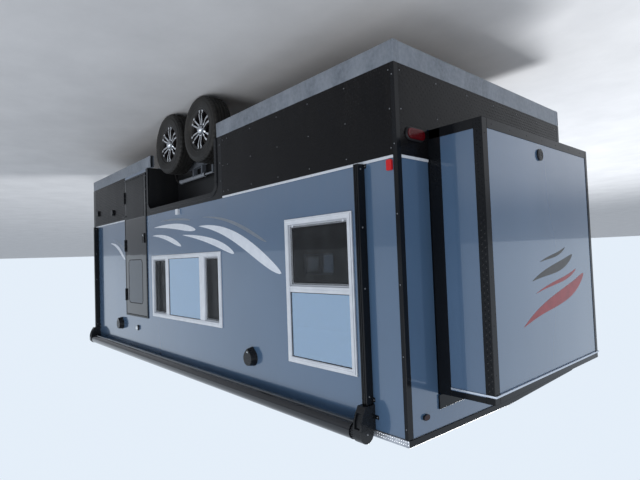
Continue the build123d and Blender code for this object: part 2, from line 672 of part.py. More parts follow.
# Corner trims: folded angles over the corners and the tip of the nose, and the post inside the tip
with BuildPart() as corner_trims:
    with BuildSketch(PLAN.offset(SKID_TOP)):
        plan_outline(-CORNER_TRIM_THICKNESS)
        plan_outline(0, mode=Mode.SUBTRACT)
        area(
            -FAR_AHEAD,
            0,
            CORNER_TRIM_REAR_LEG,
            BODY_WIDTH - CORNER_TRIM_REAR_LEG,
            mode=Mode.SUBTRACT,
        )
        area(CORNER_TRIM_SIDE_LEG, PANEL_FRONT, -BODY_WIDTH, 2 * BODY_WIDTH, mode=Mode.SUBTRACT)
        for low, high in (
            (-BODY_WIDTH, HALF_WIDTH - NOSE_TRIM_LEG),
            (HALF_WIDTH + NOSE_TRIM_LEG, 2 * BODY_WIDTH),
        ):
            area(SIDE_LENGTH + CORNER_TRIM_SIDE_LEG, FAR_AHEAD, low, high, mode=Mode.SUBTRACT)
    extrude(amount=EAVE_HEIGHT - SKID_TOP)
    with BuildSketch(PLAN.offset(SKID_TOP)):
        plan_outline(0)
        plan_outline(WALL_THICKNESS, mode=Mode.SUBTRACT)
        area(SIDE_LENGTH, NOSE_TIP, POST_RIGHT, POST_LEFT, mode=Mode.INTERSECT)
    extrude(amount=EAVE_HEIGHT - SKID_TOP)
    extrude(under_roof.sketch, amount=RIDGE_LENGTH, mode=Mode.INTERSECT)
corner_trims.part.label = "corner_trims"
export_step(corner_trims.part, "parts/corner_trims.step")

# Well trims: a folded arch round each wheel well, with a raised lip
with BuildPart() as well_trims:
    with BuildSketch(SIDE):
        area(WELL_TRIM_REAR, WELL_TRIM_FRONT, SKID_TOP, PANEL_TOP + BELT_TRIM_HEIGHT)
        with Locations((WELL_MIDDLE, 0)):
            RectangleRounded(WELL_FRONT - WELL_REAR, 2 * WELL_TOP, WELL_CORNER, mode=Mode.SUBTRACT)
    extrude(amount=WELL_TRIM_PROUD)
    with BuildSketch(SIDE.offset(WELL_TRIM_PROUD)):
        with Locations((WELL_MIDDLE, WELL_LIP)):
            RectangleRounded(WELL_FRONT - WELL_REAR + 2 * WELL_LIP, 2 * WELL_TOP, WELL_CORNER + WELL_LIP)
        with Locations((WELL_MIDDLE, 0)):
            RectangleRounded(WELL_FRONT - WELL_REAR, 2 * WELL_TOP, WELL_CORNER, mode=Mode.SUBTRACT)
        area(0, SIDE_LENGTH, -2 * WELL_TOP, SKID_TOP, mode=Mode.SUBTRACT)
    extrude(amount=WELL_LIP_PROUD - WELL_TRIM_PROUD)
    mirror(about=CENTRE)
well_trims.part.label = "well_trims"
export_step(well_trims.part, "parts/well_trims.step")

# Axles: a cross tube under the main rails with a trailing arm and spindle at each end
WHEEL_CENTRE_Y = TYRE_RECESS + TYRE_WIDTH / 2
ARM_OUTER = TYRE_RECESS + TYRE_WIDTH + ARM_GAP
ARM_INNER = ARM_OUTER + ARM_THICKNESS
RIM_FACE_Y = TYRE_RECESS + RIM_FACE_RECESS
SPINDLE_END = RIM_FACE_Y + RIM_FACE_THICKNESS / 2
with BuildPart() as axles:
    for hub in (HUB_REAR, HUB_FRONT):
        with BuildSketch(SIDE.offset(-ARM_INNER)):
            with Locations((hub + TRAILING_ARM, SKID_BOTTOM - AXLE_TUBE / 2)):
                Rectangle(AXLE_TUBE, AXLE_TUBE)
        extrude(amount=-(BODY_WIDTH - 2 * ARM_INNER))
        for plane, inward in ((SIDE.offset(-ARM_OUTER), -1), (LEFT.offset(ARM_OUTER), 1)):
            with BuildSketch(plane):
                with Locations((hub, TYRE_RADIUS)):
                    Circle(ARM_HEIGHT / 2)
                with Locations((hub + TRAILING_ARM, SKID_BOTTOM - AXLE_TUBE / 2)):
                    Circle(AXLE_TUBE / 2)
                make_hull()
            extrude(amount=inward * ARM_THICKNESS)
            with BuildSketch(plane):
                with Locations((hub, TYRE_RADIUS)):
                    Circle(SPINDLE_RADIUS)
            extrude(amount=-inward * (ARM_OUTER - SPINDLE_END))
axles.part.label = "axles"
export_step(axles.part, "parts/axles.step")

# Wheels: a tyre and a cast rim with split spokes on each spindle
HUB_BACK = TYRE_WIDTH / 2 - RIM_FACE_RECESS - RIM_FACE_THICKNESS
BEAD_HALF = BARREL_HALF - BARREL_LIP - SEAT
BEAD_TOP = RIM_SEAT_RADIUS + BEAD_HEIGHT
SIDEWALL = (BEAD_TOP + TYRE_RADIUS) / 2
SHOULDER = TYRE_RADIUS - TYRE_SHOULDER / 2
TREAD_HALF = TYRE_WIDTH / 2 - TREAD_CORNER
UPPER_HALF = TYRE_WIDTH / 2 - SIDEWALL_EASE


def wedge(inner, outer, half_angles):
    """Gives the corners of a spoke window, along the X axis of the wheel's face."""
    narrow, wide = (radians(angle) for angle in half_angles)
    low = [(inner * cos(narrow), -inner * sin(narrow)), (outer * cos(wide), -outer * sin(wide))]
    high = [(outer * cos(wide), outer * sin(wide)), (inner * cos(narrow), inner * sin(narrow))]
    return low + high


BARREL_INNER = RIM_SEAT_RADIUS - SEAT - RIM_WALL
HALF_STEP = 180 / SPOKE_PAIRS
WINDOW_POINTS = wedge(WINDOW_INNER, WINDOW_OUTER, WINDOW_HALF_ANGLES)
SLOT_POINTS = wedge(SLOT_INNER, SLOT_OUTER, SLOT_HALF_ANGLES)
WHEELS = {
    "right_rear": (HUB_REAR, RIGHT_Y + WHEEL_CENTRE_Y, -1),
    "right_front": (HUB_FRONT, RIGHT_Y + WHEEL_CENTRE_Y, -1),
    "left_rear": (HUB_REAR, RIGHT_Y + BODY_WIDTH - WHEEL_CENTRE_Y, 1),
    "left_front": (HUB_FRONT, RIGHT_Y + BODY_WIDTH - WHEEL_CENTRE_Y, 1),
}
for wheel, (station, wheel_y, outward) in WHEELS.items():
    centre = (REAR_X + station, wheel_y, TYRE_RADIUS)
    spin = Axis(centre, (0, 1, 0))
    half = Plane(origin=centre, x_dir=(0, outward, 0), z_dir=(outward, 0, 0))
    face = Plane(origin=centre, x_dir=(1, 0, 0), z_dir=(0, outward, 0))
    with BuildPart() as tyre:
        with BuildSketch(half):
            with BuildLine():
                Polyline(
                    (-BEAD_HALF, BEAD_TOP),
                    (-BEAD_HALF, RIM_SEAT_RADIUS),
                    (BEAD_HALF, RIM_SEAT_RADIUS),
                    (BEAD_HALF, BEAD_TOP),
                )
                ThreePointArc((BEAD_HALF, BEAD_TOP), (TYRE_WIDTH / 2, SIDEWALL), (UPPER_HALF, SHOULDER))
                Polyline(
                    (UPPER_HALF, SHOULDER),
                    (TREAD_HALF, TYRE_RADIUS),
                    (-TREAD_HALF, TYRE_RADIUS),
                    (-UPPER_HALF, SHOULDER),
                )
                ThreePointArc((-UPPER_HALF, SHOULDER), (-TYRE_WIDTH / 2, SIDEWALL), (-BEAD_HALF, BEAD_TOP))
            make_face()
        revolve(axis=spin)
    tyre.part.label = f"tyre_{wheel}"
    export_step(tyre.part, f"parts/tyre_{wheel}.step")

    with BuildPart() as rim:
        with BuildSketch(half):
            area(-BARREL_HALF, BARREL_HALF, BARREL_INNER, RIM_SEAT_RADIUS - SEAT)
            for end in (-BARREL_HALF, BARREL_HALF - BARREL_LIP):
                area(end, end + BARREL_LIP, BARREL_INNER, RIM_SEAT_RADIUS + BARREL_LIP_HEIGHT)
        revolve(axis=spin)
        with BuildSketch(face.offset(HUB_BACK)):
            Circle(BARREL_INNER + RIM_WALL / 2)
            with PolarLocations(0, SPOKE_PAIRS, start_angle=SPOKE_TURN):
                Polygon(*WINDOW_POINTS, align=None, mode=Mode.SUBTRACT)
            with PolarLocations(0, SPOKE_PAIRS, start_angle=SPOKE_TURN + HALF_STEP):
                Polygon(*SLOT_POINTS, align=None, mode=Mode.SUBTRACT)
        extrude(amount=RIM_FACE_THICKNESS)
        with BuildSketch(face.offset(HUB_BACK + RIM_FACE_THICKNESS)):
            Circle(CAP_RADIUS)
        extrude(amount=CAP_LENGTH, taper=CAP_TAPER)
        with BuildSketch(face.offset(HUB_BACK)):
            Circle(HUB_RADIUS)
        extrude(amount=-HUB_BOSS_LENGTH)
        with BuildSketch(face.offset(HUB_BACK + RIM_FACE_THICKNESS / 2)):
            Circle(SPINDLE_RADIUS + SPINDLE_CLEARANCE)
        extrude(amount=-(HUB_BOSS_LENGTH + RIM_FACE_THICKNESS), mode=Mode.SUBTRACT)
    rim.part.label = f"rim_{wheel}"
    export_step(rim.part, f"parts/rim_{wheel}.step")

# Lift gear: an arched beam on each main rail, with a cylinder on two lugs above it
BEAM_OUTER = WELL_DEPTH - LIFT_BEAM_GAP - LIFT_BEAM_THICKNESS
LIFT_BEAM_REAR = HUB_REAR + LIFT_BEAM_BEHIND
LIFT_BEAM_FRONT = HUB_FRONT + LIFT_BEAM_AHEAD
LIFT_BEAM_TOP = SKID_TOP + LIFT_BEAM_RISE
BEAM_MIDDLE = (LIFT_BEAM_REAR + LIFT_BEAM_FRONT) / 2
BEAM_BOTTOM = LIFT_BEAM_TOP - LIFT_BEAM_HEIGHT
CYLINDER_REAR = LIFT_BEAM_REAR + CYLINDER_SETBACK
CYLINDER_FRONT = CYLINDER_REAR + CYLINDER_LENGTH
CYLINDER_HEIGHT = SKID_TOP + CYLINDER_RISE
BRACKETS = (LIFT_BEAM_REAR + LIFT_BRACKET_INSET, LIFT_BEAM_FRONT - LIFT_BRACKET_INSET)
CYLINDER_Y = BEAM_OUTER + LIFT_BEAM_THICKNESS / 2
ROD_END = CYLINDER_REAR - ROD_LENGTH
with BuildPart() as lift_gear:
    with BuildSketch(SIDE.offset(-BEAM_OUTER)):
        with BuildLine():
            Polyline(
                (LIFT_BEAM_REAR, BEAM_BOTTOM + LIFT_BEAM_TIP),
                (LIFT_BEAM_REAR + LIFT_BEAM_TAPER, BEAM_BOTTOM),
                (LIFT_BEAM_FRONT, BEAM_BOTTOM),
                (LIFT_BEAM_FRONT, LIFT_BEAM_TOP - LIFT_BEAM_TIP),
            )
            ThreePointArc(
                (LIFT_BEAM_FRONT, LIFT_BEAM_TOP - LIFT_BEAM_TIP),
                (BEAM_MIDDLE, LIFT_BEAM_TOP),
                (LIFT_BEAM_REAR, BEAM_BOTTOM + LIFT_BEAM_TIP),
            )
        make_face()
        for setback in CYLINDER_LUGS:
            low = CYLINDER_REAR + setback - LUG_WIDTH / 2
            area(low, low + LUG_WIDTH, BEAM_BOTTOM, CYLINDER_HEIGHT)
        area(
            ROD_END - LUG_WIDTH / 2,
            ROD_END + LUG_WIDTH / 2,
            BEAM_BOTTOM,
            CYLINDER_HEIGHT + ROD_RADIUS,
        )
    extrude(amount=-LIFT_BEAM_THICKNESS)
    with BuildSketch(SIDE.offset(-BEAM_OUTER)):
        for station in BRACKETS:
            low, high = station - LIFT_BRACKET_LENGTH / 2, station + LIFT_BRACKET_LENGTH / 2
            area(low, high, SKID_TOP - LIFT_BRACKET_HEIGHT, SKID_TOP)
    extrude(amount=-(WELL_DEPTH - BEAM_OUTER))
    for station, length, radius in (
        (CYLINDER_REAR, CYLINDER_LENGTH, CYLINDER_RADIUS),
        (ROD_END, ROD_LENGTH, ROD_RADIUS),
    ):
        with BuildSketch(REAR.offset(station)):
            with Locations((CYLINDER_Y, CYLINDER_HEIGHT)):
                Circle(radius)
        extrude(amount=length)
    mirror(about=CENTRE)
lift_gear.part.label = "lift_gear"
export_step(lift_gear.part, "parts/lift_gear.step")

# Lift hoses: each leaves its cylinder's front end and drops to the rail
HOSE_FRONT = CYLINDER_FRONT + HOSE_REACH
with BuildPart() as lift_hoses:
    with BuildLine(SIDE.offset(-CYLINDER_Y)):
        hose_path = Bezier(
            (CYLINDER_FRONT, CYLINDER_HEIGHT),
            (HOSE_FRONT, CYLINDER_HEIGHT),
            (HOSE_FRONT, SKID_TOP + HOSE_END_RISE),
        )
    with BuildSketch(REAR.offset(CYLINDER_FRONT)):
        with Locations((CYLINDER_Y, CYLINDER_HEIGHT)):
            Circle(HOSE_RADIUS)
    sweep(path=hose_path)
    mirror(about=CENTRE)
lift_hoses.part.label = "lift_hoses"
export_step(lift_hoses.part, "parts/lift_hoses.step")

# Tongue: two box rails welded to the nose rails, which meet at the coupler
COUPLER_X = NOSE_TIP + TONGUE_REACH
TONGUE_APEX = COUPLER_X - TONGUE_APEX_SETBACK
COUPLER_HALF = COUPLER_WIDTH / 2
with BuildPart() as tongue_rails:
    with BuildSketch(PLAN.offset(TONGUE_BOTTOM)):
        with Locations((TONGUE_APEX, HALF_WIDTH)):
            for turn in (TONGUE_HALF_ANGLE, -TONGUE_HALF_ANGLE):
                Rectangle(
                    2 * TONGUE_REACH,
                    TONGUE_RAIL_WIDTH,
                    rotation=turn,
                    align=(Align.MAX, Align.CENTER),
                )
        plan_outline(0, mode=Mode.SUBTRACT)
        area(0, COUPLER_X, HALF_WIDTH - COUPLER_HALF, HALF_WIDTH + COUPLER_HALF, mode=Mode.SUBTRACT)
    extrude(amount=TONGUE_RAIL_HEIGHT)
tongue_rails.part.label = "tongue_rails"
export_step(tongue_rails.part, "parts/tongue_rails.step")

# Coupler: the channel between the rails, with the ball socket at its front
JACK_X = COUPLER_X - JACK_SETBACK
with BuildPart() as coupler:
    with BuildSketch(PLAN.offset(TONGUE_BOTTOM)):
        area(
            JACK_X - JACK_FOOT_RADIUS,
            COUPLER_X - COUPLER_HEAD_RADIUS,
            HALF_WIDTH - COUPLER_HALF,
            HALF_WIDTH + COUPLER_HALF,
        )
    extrude(amount=TONGUE_RAIL_HEIGHT)
    with BuildSketch(PLAN.offset(TONGUE_BOTTOM)):
        with Locations((COUPLER_X - COUPLER_HEAD_RADIUS, HALF_WIDTH)):
            Circle(COUPLER_HEAD_RADIUS)
    extrude(amount=TONGUE_RAIL_HEIGHT)
    with BuildSketch(PLAN.offset(TONGUE_BOTTOM)):
        with Locations((COUPLER_X - COUPLER_HEAD_RADIUS, HALF_WIDTH)):
            Circle(COUPLER_BALL_RADIUS)
    extrude(amount=2 * COUPLER_BALL_RADIUS, mode=Mode.SUBTRACT)
    with BuildSketch(PLAN.offset(TONGUE_BOTTOM)):
        with Locations((JACK_X, HALF_WIDTH)):
            Circle(JACK_TUBE_RADIUS + SEAT)
    extrude(amount=TONGUE_RAIL_HEIGHT, mode=Mode.SUBTRACT)
coupler.part.label = "coupler"
export_step(coupler.part, "parts/coupler.step")

# Jack: a screw jack on the coupler's channel, standing on its foot
with BuildPart() as jack:
    for bottom, top, radius in (
        (0, JACK_FOOT_THICKNESS, JACK_FOOT_RADIUS),
        (0, JACK_SLEEVE_BOTTOM, JACK_INNER_RADIUS),
        (JACK_SLEEVE_BOTTOM, JACK_TOP, JACK_TUBE_RADIUS),
    ):
        with BuildSketch(PLAN.offset(bottom)):
            with Locations((JACK_X, HALF_WIDTH)):
                Circle(radius)
        extrude(amount=top - bottom)
    with BuildSketch(REAR.offset(JACK_X)):
        with Locations((HALF_WIDTH, JACK_TOP - 2 * JACK_CRANK_RADIUS)):
            Circle(JACK_CRANK_RADIUS)
    extrude(amount=JACK_CRANK_LENGTH)
jack.part.label = "jack"
export_step(jack.part, "parts/jack.step")

# Window frames: a flanged frame set in each hole, with the bars between its panes
HUNG_GLASS = opening(HUNG_WINDOW, FRAME_FACE)
SLIDER_GLASS = opening(SLIDER_WINDOW, FRAME_FACE)
LEFT_GLASS = opening(LEFT_WINDOW, FRAME_FACE)
HUNG_BAR_BOTTOM = HUNG_WINDOW[2] + HUNG_RAIL[0]
HUNG_BAR_TOP = HUNG_BAR_BOTTOM + HUNG_RAIL[1]
HUNG_BARS = [(HUNG_GLASS[0], HUNG_GLASS[1], HUNG_BAR_BOTTOM, HUNG_BAR_TOP)]
SLIDER_BARS = [
    (SLIDER_WINDOW[0] + start, SLIDER_WINDOW[0] + start + width, SLIDER_GLASS[2], SLIDER_GLASS[3])
    for start, width in SLIDER_MULLIONS
]
LEFT_BAR_REAR = LEFT_WINDOW[0] + LEFT_MULLION[0]
LEFT_BARS = [(LEFT_BAR_REAR, LEFT_BAR_REAR + LEFT_MULLION[1], LEFT_GLASS[2], LEFT_GLASS[3])]
WINDOWS = (
    (SIDE, 1, HUNG_WINDOW, HUNG_BARS),
    (SIDE, 1, SLIDER_WINDOW, SLIDER_BARS),
    (LEFT, -1, LEFT_WINDOW, LEFT_BARS),
)
with BuildPart() as window_frames:
    for plane, outward, window, bars in WINDOWS:
        with BuildSketch(plane):
            area(*window)
            area(*opening(window, FRAME_FACE), mode=Mode.SUBTRACT)
        extrude(amount=outward * FRAME_PROUD)
        with BuildSketch(plane):
            area(*opening(window, FRAME_FLANGE))
            area(*opening(window, FRAME_FACE), mode=Mode.SUBTRACT)
        extrude(amount=-outward * WALL_THICKNESS)
        with BuildSketch(plane.offset(outward * (FRAME_PROUD - SASH_RECESS))):
            for bar in bars:
                area(*bar)
        extrude(amount=-outward * BAR_DEPTH)
window_frames.part.label = "window_frames"
export_step(window_frames.part, "parts/window_frames.step")

# Window lights: the fixed ones sit forward, and the sashes that slide run behind them
RIGHT_FIXED = [
    (HUNG_GLASS[0], HUNG_GLASS[1], HUNG_BAR_TOP, HUNG_GLASS[3]),
    (SLIDER_BARS[0][1], SLIDER_BARS[1][0], SLIDER_GLASS[2], SLIDER_GLASS[3]),
]
RIGHT_SLIDING = [
    (HUNG_GLASS[0], HUNG_GLASS[1], HUNG_GLASS[2], HUNG_BAR_BOTTOM),
    (SLIDER_GLASS[0], SLIDER_BARS[0][0], SLIDER_GLASS[2], SLIDER_GLASS[3]),
    (SLIDER_BARS[1][1], SLIDER_GLASS[1], SLIDER_GLASS[2], SLIDER_GLASS[3]),
]
LEFT_FIXED = [(LEFT_GLASS[0], LEFT_BARS[0][0], LEFT_GLASS[2], LEFT_GLASS[3])]
LEFT_SLIDING = [(LEFT_BARS[0][1], LEFT_GLASS[1], LEFT_GLASS[2], LEFT_GLASS[3])]
with BuildPart() as window_sashes:
    for plane, outward, lights in ((SIDE, 1, RIGHT_SLIDING), (LEFT, -1, LEFT_SLIDING)):
        with BuildSketch(plane.offset(outward * (GLASS_THICKNESS - GLASS_SET_BACK))):
            for light in lights:
                area(*light)
                area(*opening(light, SASH_WIDTH), mode=Mode.SUBTRACT)
        extrude(amount=outward * SASH_DEPTH)
window_sashes.part.label = "window_sashes"
export_step(window_sashes.part, "parts/window_sashes.step")

# Window panes: one in each light
with BuildPart() as window_panes:
    for plane, outward, lights, set_back in (
        (SIDE, 1, RIGHT_FIXED, FIXED_SET_BACK),
        (SIDE, 1, RIGHT_SLIDING, GLASS_SET_BACK),
        (LEFT, -1, LEFT_FIXED, FIXED_SET_BACK),
        (LEFT, -1, LEFT_SLIDING, GLASS_SET_BACK),
    ):
        with BuildSketch(plane.offset(-outward * set_back)):
            for light in lights:
                area(*light)
        extrude(amount=outward * GLASS_THICKNESS)
window_panes.part.label = "window_panes"
export_step(window_panes.part, "parts/window_panes.step")

# Door frame: a black ring through the wall
with BuildPart() as door_frame:
    with BuildSketch(SIDE):
        area(*DOOR_FRAME)
        area(*opening(DOOR_FRAME, DOOR_FRAME_FACE), mode=Mode.SUBTRACT)
    extrude(amount=DOOR_FRAME_PROUD)
    with BuildSketch(SIDE):
        area(*opening(DOOR_FRAME, DOOR_FRAME_FACE / 2))
        area(*opening(DOOR_FRAME, DOOR_FRAME_FACE), mode=Mode.SUBTRACT)
    extrude(amount=-WALL_THICKNESS)
door_frame.part.label = "door_frame"
export_step(door_frame.part, "parts/door_frame.step")

# Door leaf: a flush panel with a rounded window and an embossed plate on its lower part
LEAF = opening(DOOR_FRAME, DOOR_FRAME_FACE + DOOR_CLEARANCE)
DOOR_WINDOW_WIDTH, DOOR_WINDOW_HEIGHT = DOOR_WINDOW_SIZE
DOOR_WINDOW_CENTRE = (
    (DOOR_FRAME_REAR + DOOR_FRAME_FRONT) / 2 + DOOR_WINDOW_OFFSET,
    DOOR_FRAME_TOP - DOOR_WINDOW_DROP - DOOR_WINDOW_HEIGHT / 2,
)
DOOR_KICK_TOP = BELT_HEIGHT + DOOR_KICK_OVER_BELT
with BuildPart() as door_leaf:
    with BuildSketch(SIDE.offset(DOOR_PROUD)):
        area(*LEAF)
        with Locations(DOOR_WINDOW_CENTRE):
            RectangleRounded(
                DOOR_WINDOW_WIDTH, DOOR_WINDOW_HEIGHT, DOOR_WINDOW_CORNER, mode=Mode.SUBTRACT
            )
    extrude(amount=-DOOR_THICKNESS)
    with BuildSketch(SIDE.offset(DOOR_PROUD)):
        area(LEAF[0] + DOOR_KICK_MARGIN, LEAF[1] - DOOR_KICK_MARGIN, LEAF[2], DOOR_KICK_TOP)
    extrude(amount=DOOR_KICK_PROUD)
door_leaf.part.label = "door_leaf"
export_step(door_leaf.part, "parts/door_leaf.step")

# Door pane
with BuildPart() as door_pane:
    with BuildSketch(SIDE.offset(DOOR_PROUD - GLASS_THICKNESS)):
        with Locations(DOOR_WINDOW_CENTRE):
            RectangleRounded(
                DOOR_WINDOW_WIDTH - 2 * SEAT,
                DOOR_WINDOW_HEIGHT - 2 * SEAT,
                DOOR_WINDOW_CORNER - SEAT,
            )
    extrude(amount=GLASS_THICKNESS)
door_pane.part.label = "door_pane"
export_step(door_pane.part, "parts/door_pane.step")

# Door hinges: the frame's halves carry the pins, the door's halves the middle knuckles
HINGE_X = DOOR_FRAME_FRONT - DOOR_FRAME_FACE - DOOR_CLEARANCE / 2
HINGE_OUT = DOOR_FRAME_PROUD + HINGE_STANDOFF
KNUCKLE = HINGE_HEIGHT / 3
DOOR_FRAME_HEIGHT = DOOR_FRAME_TOP - DOOR_FRAME_BOTTOM
HINGE_HEIGHTS = [DOOR_FRAME_BOTTOM + share * DOOR_FRAME_HEIGHT for share in HINGE_SHARES]
with BuildPart() as door_hinges:
    for middle in HINGE_HEIGHTS:
        with BuildSketch(SIDE.offset(DOOR_FRAME_PROUD)):
            area(
                HINGE_X + HINGE_RADIUS + HINGE_CLEARANCE,
                DOOR_FRAME_FRONT,
                middle - HINGE_HEIGHT / 2,
                middle + HINGE_HEIGHT / 2,
            )
            for low in (middle - HINGE_HEIGHT / 2, middle + KNUCKLE / 2):
                area(HINGE_X + HINGE_CLEARANCE, DOOR_FRAME_FRONT, low, low + KNUCKLE)
        extrude(amount=HINGE_PLATE)
        for low in (middle - HINGE_HEIGHT / 2, middle + KNUCKLE / 2):
            with BuildSketch(PLAN.offset(low)):
                with Locations((HINGE_X, -HINGE_OUT)):
                    Circle(HINGE_RADIUS)
            extrude(amount=KNUCKLE)
        with BuildSketch(PLAN.offset(middle - HINGE_HEIGHT / 2)):
            with Locations((HINGE_X, -HINGE_OUT)):
                Circle(HINGE_PIN_RADIUS)
        extrude(amount=HINGE_HEIGHT)
door_hinges.part.label = "door_hinges"
export_step(door_hinges.part, "parts/door_hinges.step")

with BuildPart() as door_hinge_leaves:
    for middle in HINGE_HEIGHTS:
        with BuildSketch(SIDE.offset(DOOR_PROUD)):
            area(
                HINGE_X - HINGE_PLATE_WIDTH,
                HINGE_X - HINGE_RADIUS - HINGE_CLEARANCE,
                middle - HINGE_HEIGHT / 2,
                middle + HINGE_HEIGHT / 2,
            )
            area(
                HINGE_X - HINGE_PLATE_WIDTH,
                HINGE_X - HINGE_CLEARANCE,
                middle - KNUCKLE / 2 + HINGE_CLEARANCE,
                middle + KNUCKLE / 2 - HINGE_CLEARANCE,
            )
        extrude(amount=HINGE_PLATE + DOOR_FRAME_PROUD - DOOR_PROUD)
        with BuildSketch(PLAN.offset(middle - KNUCKLE / 2 + HINGE_CLEARANCE)):
            with Locations((HINGE_X, -HINGE_OUT)):
                Circle(HINGE_RADIUS)
                Circle(HINGE_PIN_RADIUS + SEAT, mode=Mode.SUBTRACT)
        extrude(amount=KNUCKLE - 2 * HINGE_CLEARANCE)
door_hinge_leaves.part.label = "door_hinge_leaves"
export_step(door_hinge_leaves.part, "parts/door_hinge_leaves.step")

# Door handle: a flush latch near the free edge
with BuildPart() as door_handle:
    with BuildSketch(SIDE.offset(DOOR_PROUD)):
        with Locations((DOOR_FRAME_REAR + HANDLE_INSET, DOOR_FRAME_BOTTOM + HANDLE_RISE)):
            RectangleRounded(*HANDLE_SIZE, HANDLE_PROUD)
    extrude(amount=HANDLE_PROUD)
door_handle.part.label = "door_handle"
export_step(door_handle.part, "parts/door_handle.step")

# Door catch: the short half beside the hinge line, in line with the half on the wall
with BuildPart() as door_catch:
    with BuildSketch(SIDE.offset(DOOR_PROUD)):
        catch_front = HINGE_X - HINGE_CLEARANCE
        catch_middle = BELT_HEIGHT - CATCH_UNDER_BELT
        area(
            catch_front - CATCH_DOOR_LENGTH,
            catch_front,
            catch_middle - CATCH_SECTION / 2,
            catch_middle + CATCH_SECTION / 2,
        )
    extrude(amount=CATCH_DOOR_DEPTH)
door_catch.part.label = "door_catch"
export_step(door_catch.part, "parts/door_catch.step")

# Slide-out room: a box of panels that runs in and out of the rear wall
SHELL_RIGHT = SLIDE_RIGHT + SLIDE_TRIM
SHELL_LEFT = SLIDE_LEFT - SLIDE_TRIM
FACE_X = SLIDE_TRIM - SLIDE_OUT
SHELL_X = FACE_X + SLIDE_WALL
SHELL_LENGTH = SLIDE_INSIDE - SHELL_X
with BuildPart() as slide_face:
    with BuildSketch(REAR.offset(FACE_X)):
        area(SHELL_RIGHT, SHELL_LEFT, SLIDE_BOTTOM, SLIDE_TOP)
    extrude(amount=SLIDE_WALL)
slide_face.part.label = "slide_face"
export_step(slide_face.part, "parts/slide_face.step")

with BuildPart() as slide_port:
    with BuildSketch(REAR.offset(FACE_X)):
        with Locations((SLIDE_RIGHT + PORT_INSET, SLIDE_BOTTOM + PORT_RISE)):
            Circle(PORT_RADIUS)
    extrude(amount=-PORT_PROUD)
slide_port.part.label = "slide_port"
export_step(slide_port.part, "parts/slide_port.step")

with BuildPart() as slide_sides:
    with BuildSketch(REAR.offset(SHELL_X)):
        area(SHELL_RIGHT, SHELL_RIGHT + SLIDE_WALL, SLIDE_BOTTOM + SLIDE_WALL, SLIDE_TOP - SLIDE_WALL)
        area(SHELL_LEFT - SLIDE_WALL, SHELL_LEFT, SLIDE_BOTTOM + SLIDE_WALL, SLIDE_TOP - SLIDE_WALL)
    extrude(amount=SHELL_LENGTH)
slide_sides.part.label = "slide_sides"
export_step(slide_sides.part, "parts/slide_sides.step")

with BuildPart() as slide_decks:
    with BuildSketch(REAR.offset(SHELL_X)):
        area(SHELL_RIGHT, SHELL_LEFT, SLIDE_BOTTOM, SLIDE_BOTTOM + SLIDE_WALL)
        area(SHELL_RIGHT, SHELL_LEFT, SLIDE_TOP - SLIDE_WALL, SLIDE_TOP)
    extrude(amount=SHELL_LENGTH)
slide_decks.part.label = "slide_decks"
export_step(slide_decks.part, "parts/slide_decks.step")

# Slide-out trims: corner angles, the bars over and under the face, and the side seals
with BuildPart() as slide_trims:
    with BuildSketch(REAR.offset(-SLIDE_OUT)):
        area(SLIDE_RIGHT, SLIDE_RIGHT + SLIDE_TRIM_NEAR, SLIDE_BOTTOM, SLIDE_TOP)
        area(SLIDE_LEFT - SLIDE_TRIM_FAR, SLIDE_LEFT, SLIDE_BOTTOM, SLIDE_TOP)
        bar_right = SLIDE_RIGHT + SLIDE_TRIM_NEAR + SEAM
        bar_left = SLIDE_LEFT - SLIDE_TRIM_FAR - SEAM
        area(bar_right, bar_left, SLIDE_BOTTOM, SLIDE_BOTTOM + SLIDE_TRIM_BOTTOM)
        area(bar_right, bar_left, SLIDE_TOP - SLIDE_FASCIA, SLIDE_TOP)
    extrude(amount=SLIDE_TRIM)
    with BuildSketch(PLAN.offset(SLIDE_BOTTOM)):
        area(-SLIDE_OUT, SLIDE_TRIM_NEAR - SLIDE_OUT, SLIDE_RIGHT, SHELL_RIGHT)
        area(-SLIDE_OUT, SLIDE_TRIM_FAR - SLIDE_OUT, SHELL_LEFT, SLIDE_LEFT)
        area(-SLIDE_SEAL_LENGTH, SLIDE_INSIDE, SLIDE_RIGHT, SHELL_RIGHT)
        area(-SLIDE_SEAL_LENGTH, SLIDE_INSIDE, SHELL_LEFT, SLIDE_LEFT)
    extrude(amount=SLIDE_TOP - SLIDE_BOTTOM)
slide_trims.part.label = "slide_trims"
export_step(slide_trims.part, "parts/slide_trims.step")

# Slide-out drip rail: a bright rail round the face and the sides, under the dark fascia
DRIP_BOTTOM = SLIDE_TOP - SLIDE_FASCIA - SLIDE_DRIP_HEIGHT
with BuildPart() as slide_drip:
    with BuildSketch(PLAN.offset(DRIP_BOTTOM)):
        area(
            -SLIDE_OUT - SLIDE_DRIP_PROUD,
            -SLIDE_SEAL_LENGTH,
            SLIDE_RIGHT - SLIDE_DRIP_SIDE,
            SLIDE_LEFT + SLIDE_DRIP_SIDE,
        )
        area(-SLIDE_OUT, -SLIDE_SEAL_LENGTH, SLIDE_RIGHT, SLIDE_LEFT, mode=Mode.SUBTRACT)
    extrude(amount=SLIDE_DRIP_HEIGHT)
slide_drip.part.label = "slide_drip"
export_step(slide_drip.part, "parts/slide_drip.step")

# Slide header and runners: the trim over the opening, and the blocks that the box runs on
with BuildPart() as slide_header:
    with BuildSketch(REAR):
        area(HOLE_RIGHT, HOLE_LEFT, HOLE_TOP, HOLE_TOP + SLIDE_HEADER_HEIGHT)
    extrude(amount=-SLIDE_HEADER_PROUD)
slide_header.part.label = "slide_header"
export_step(slide_header.part, "parts/slide_header.step")

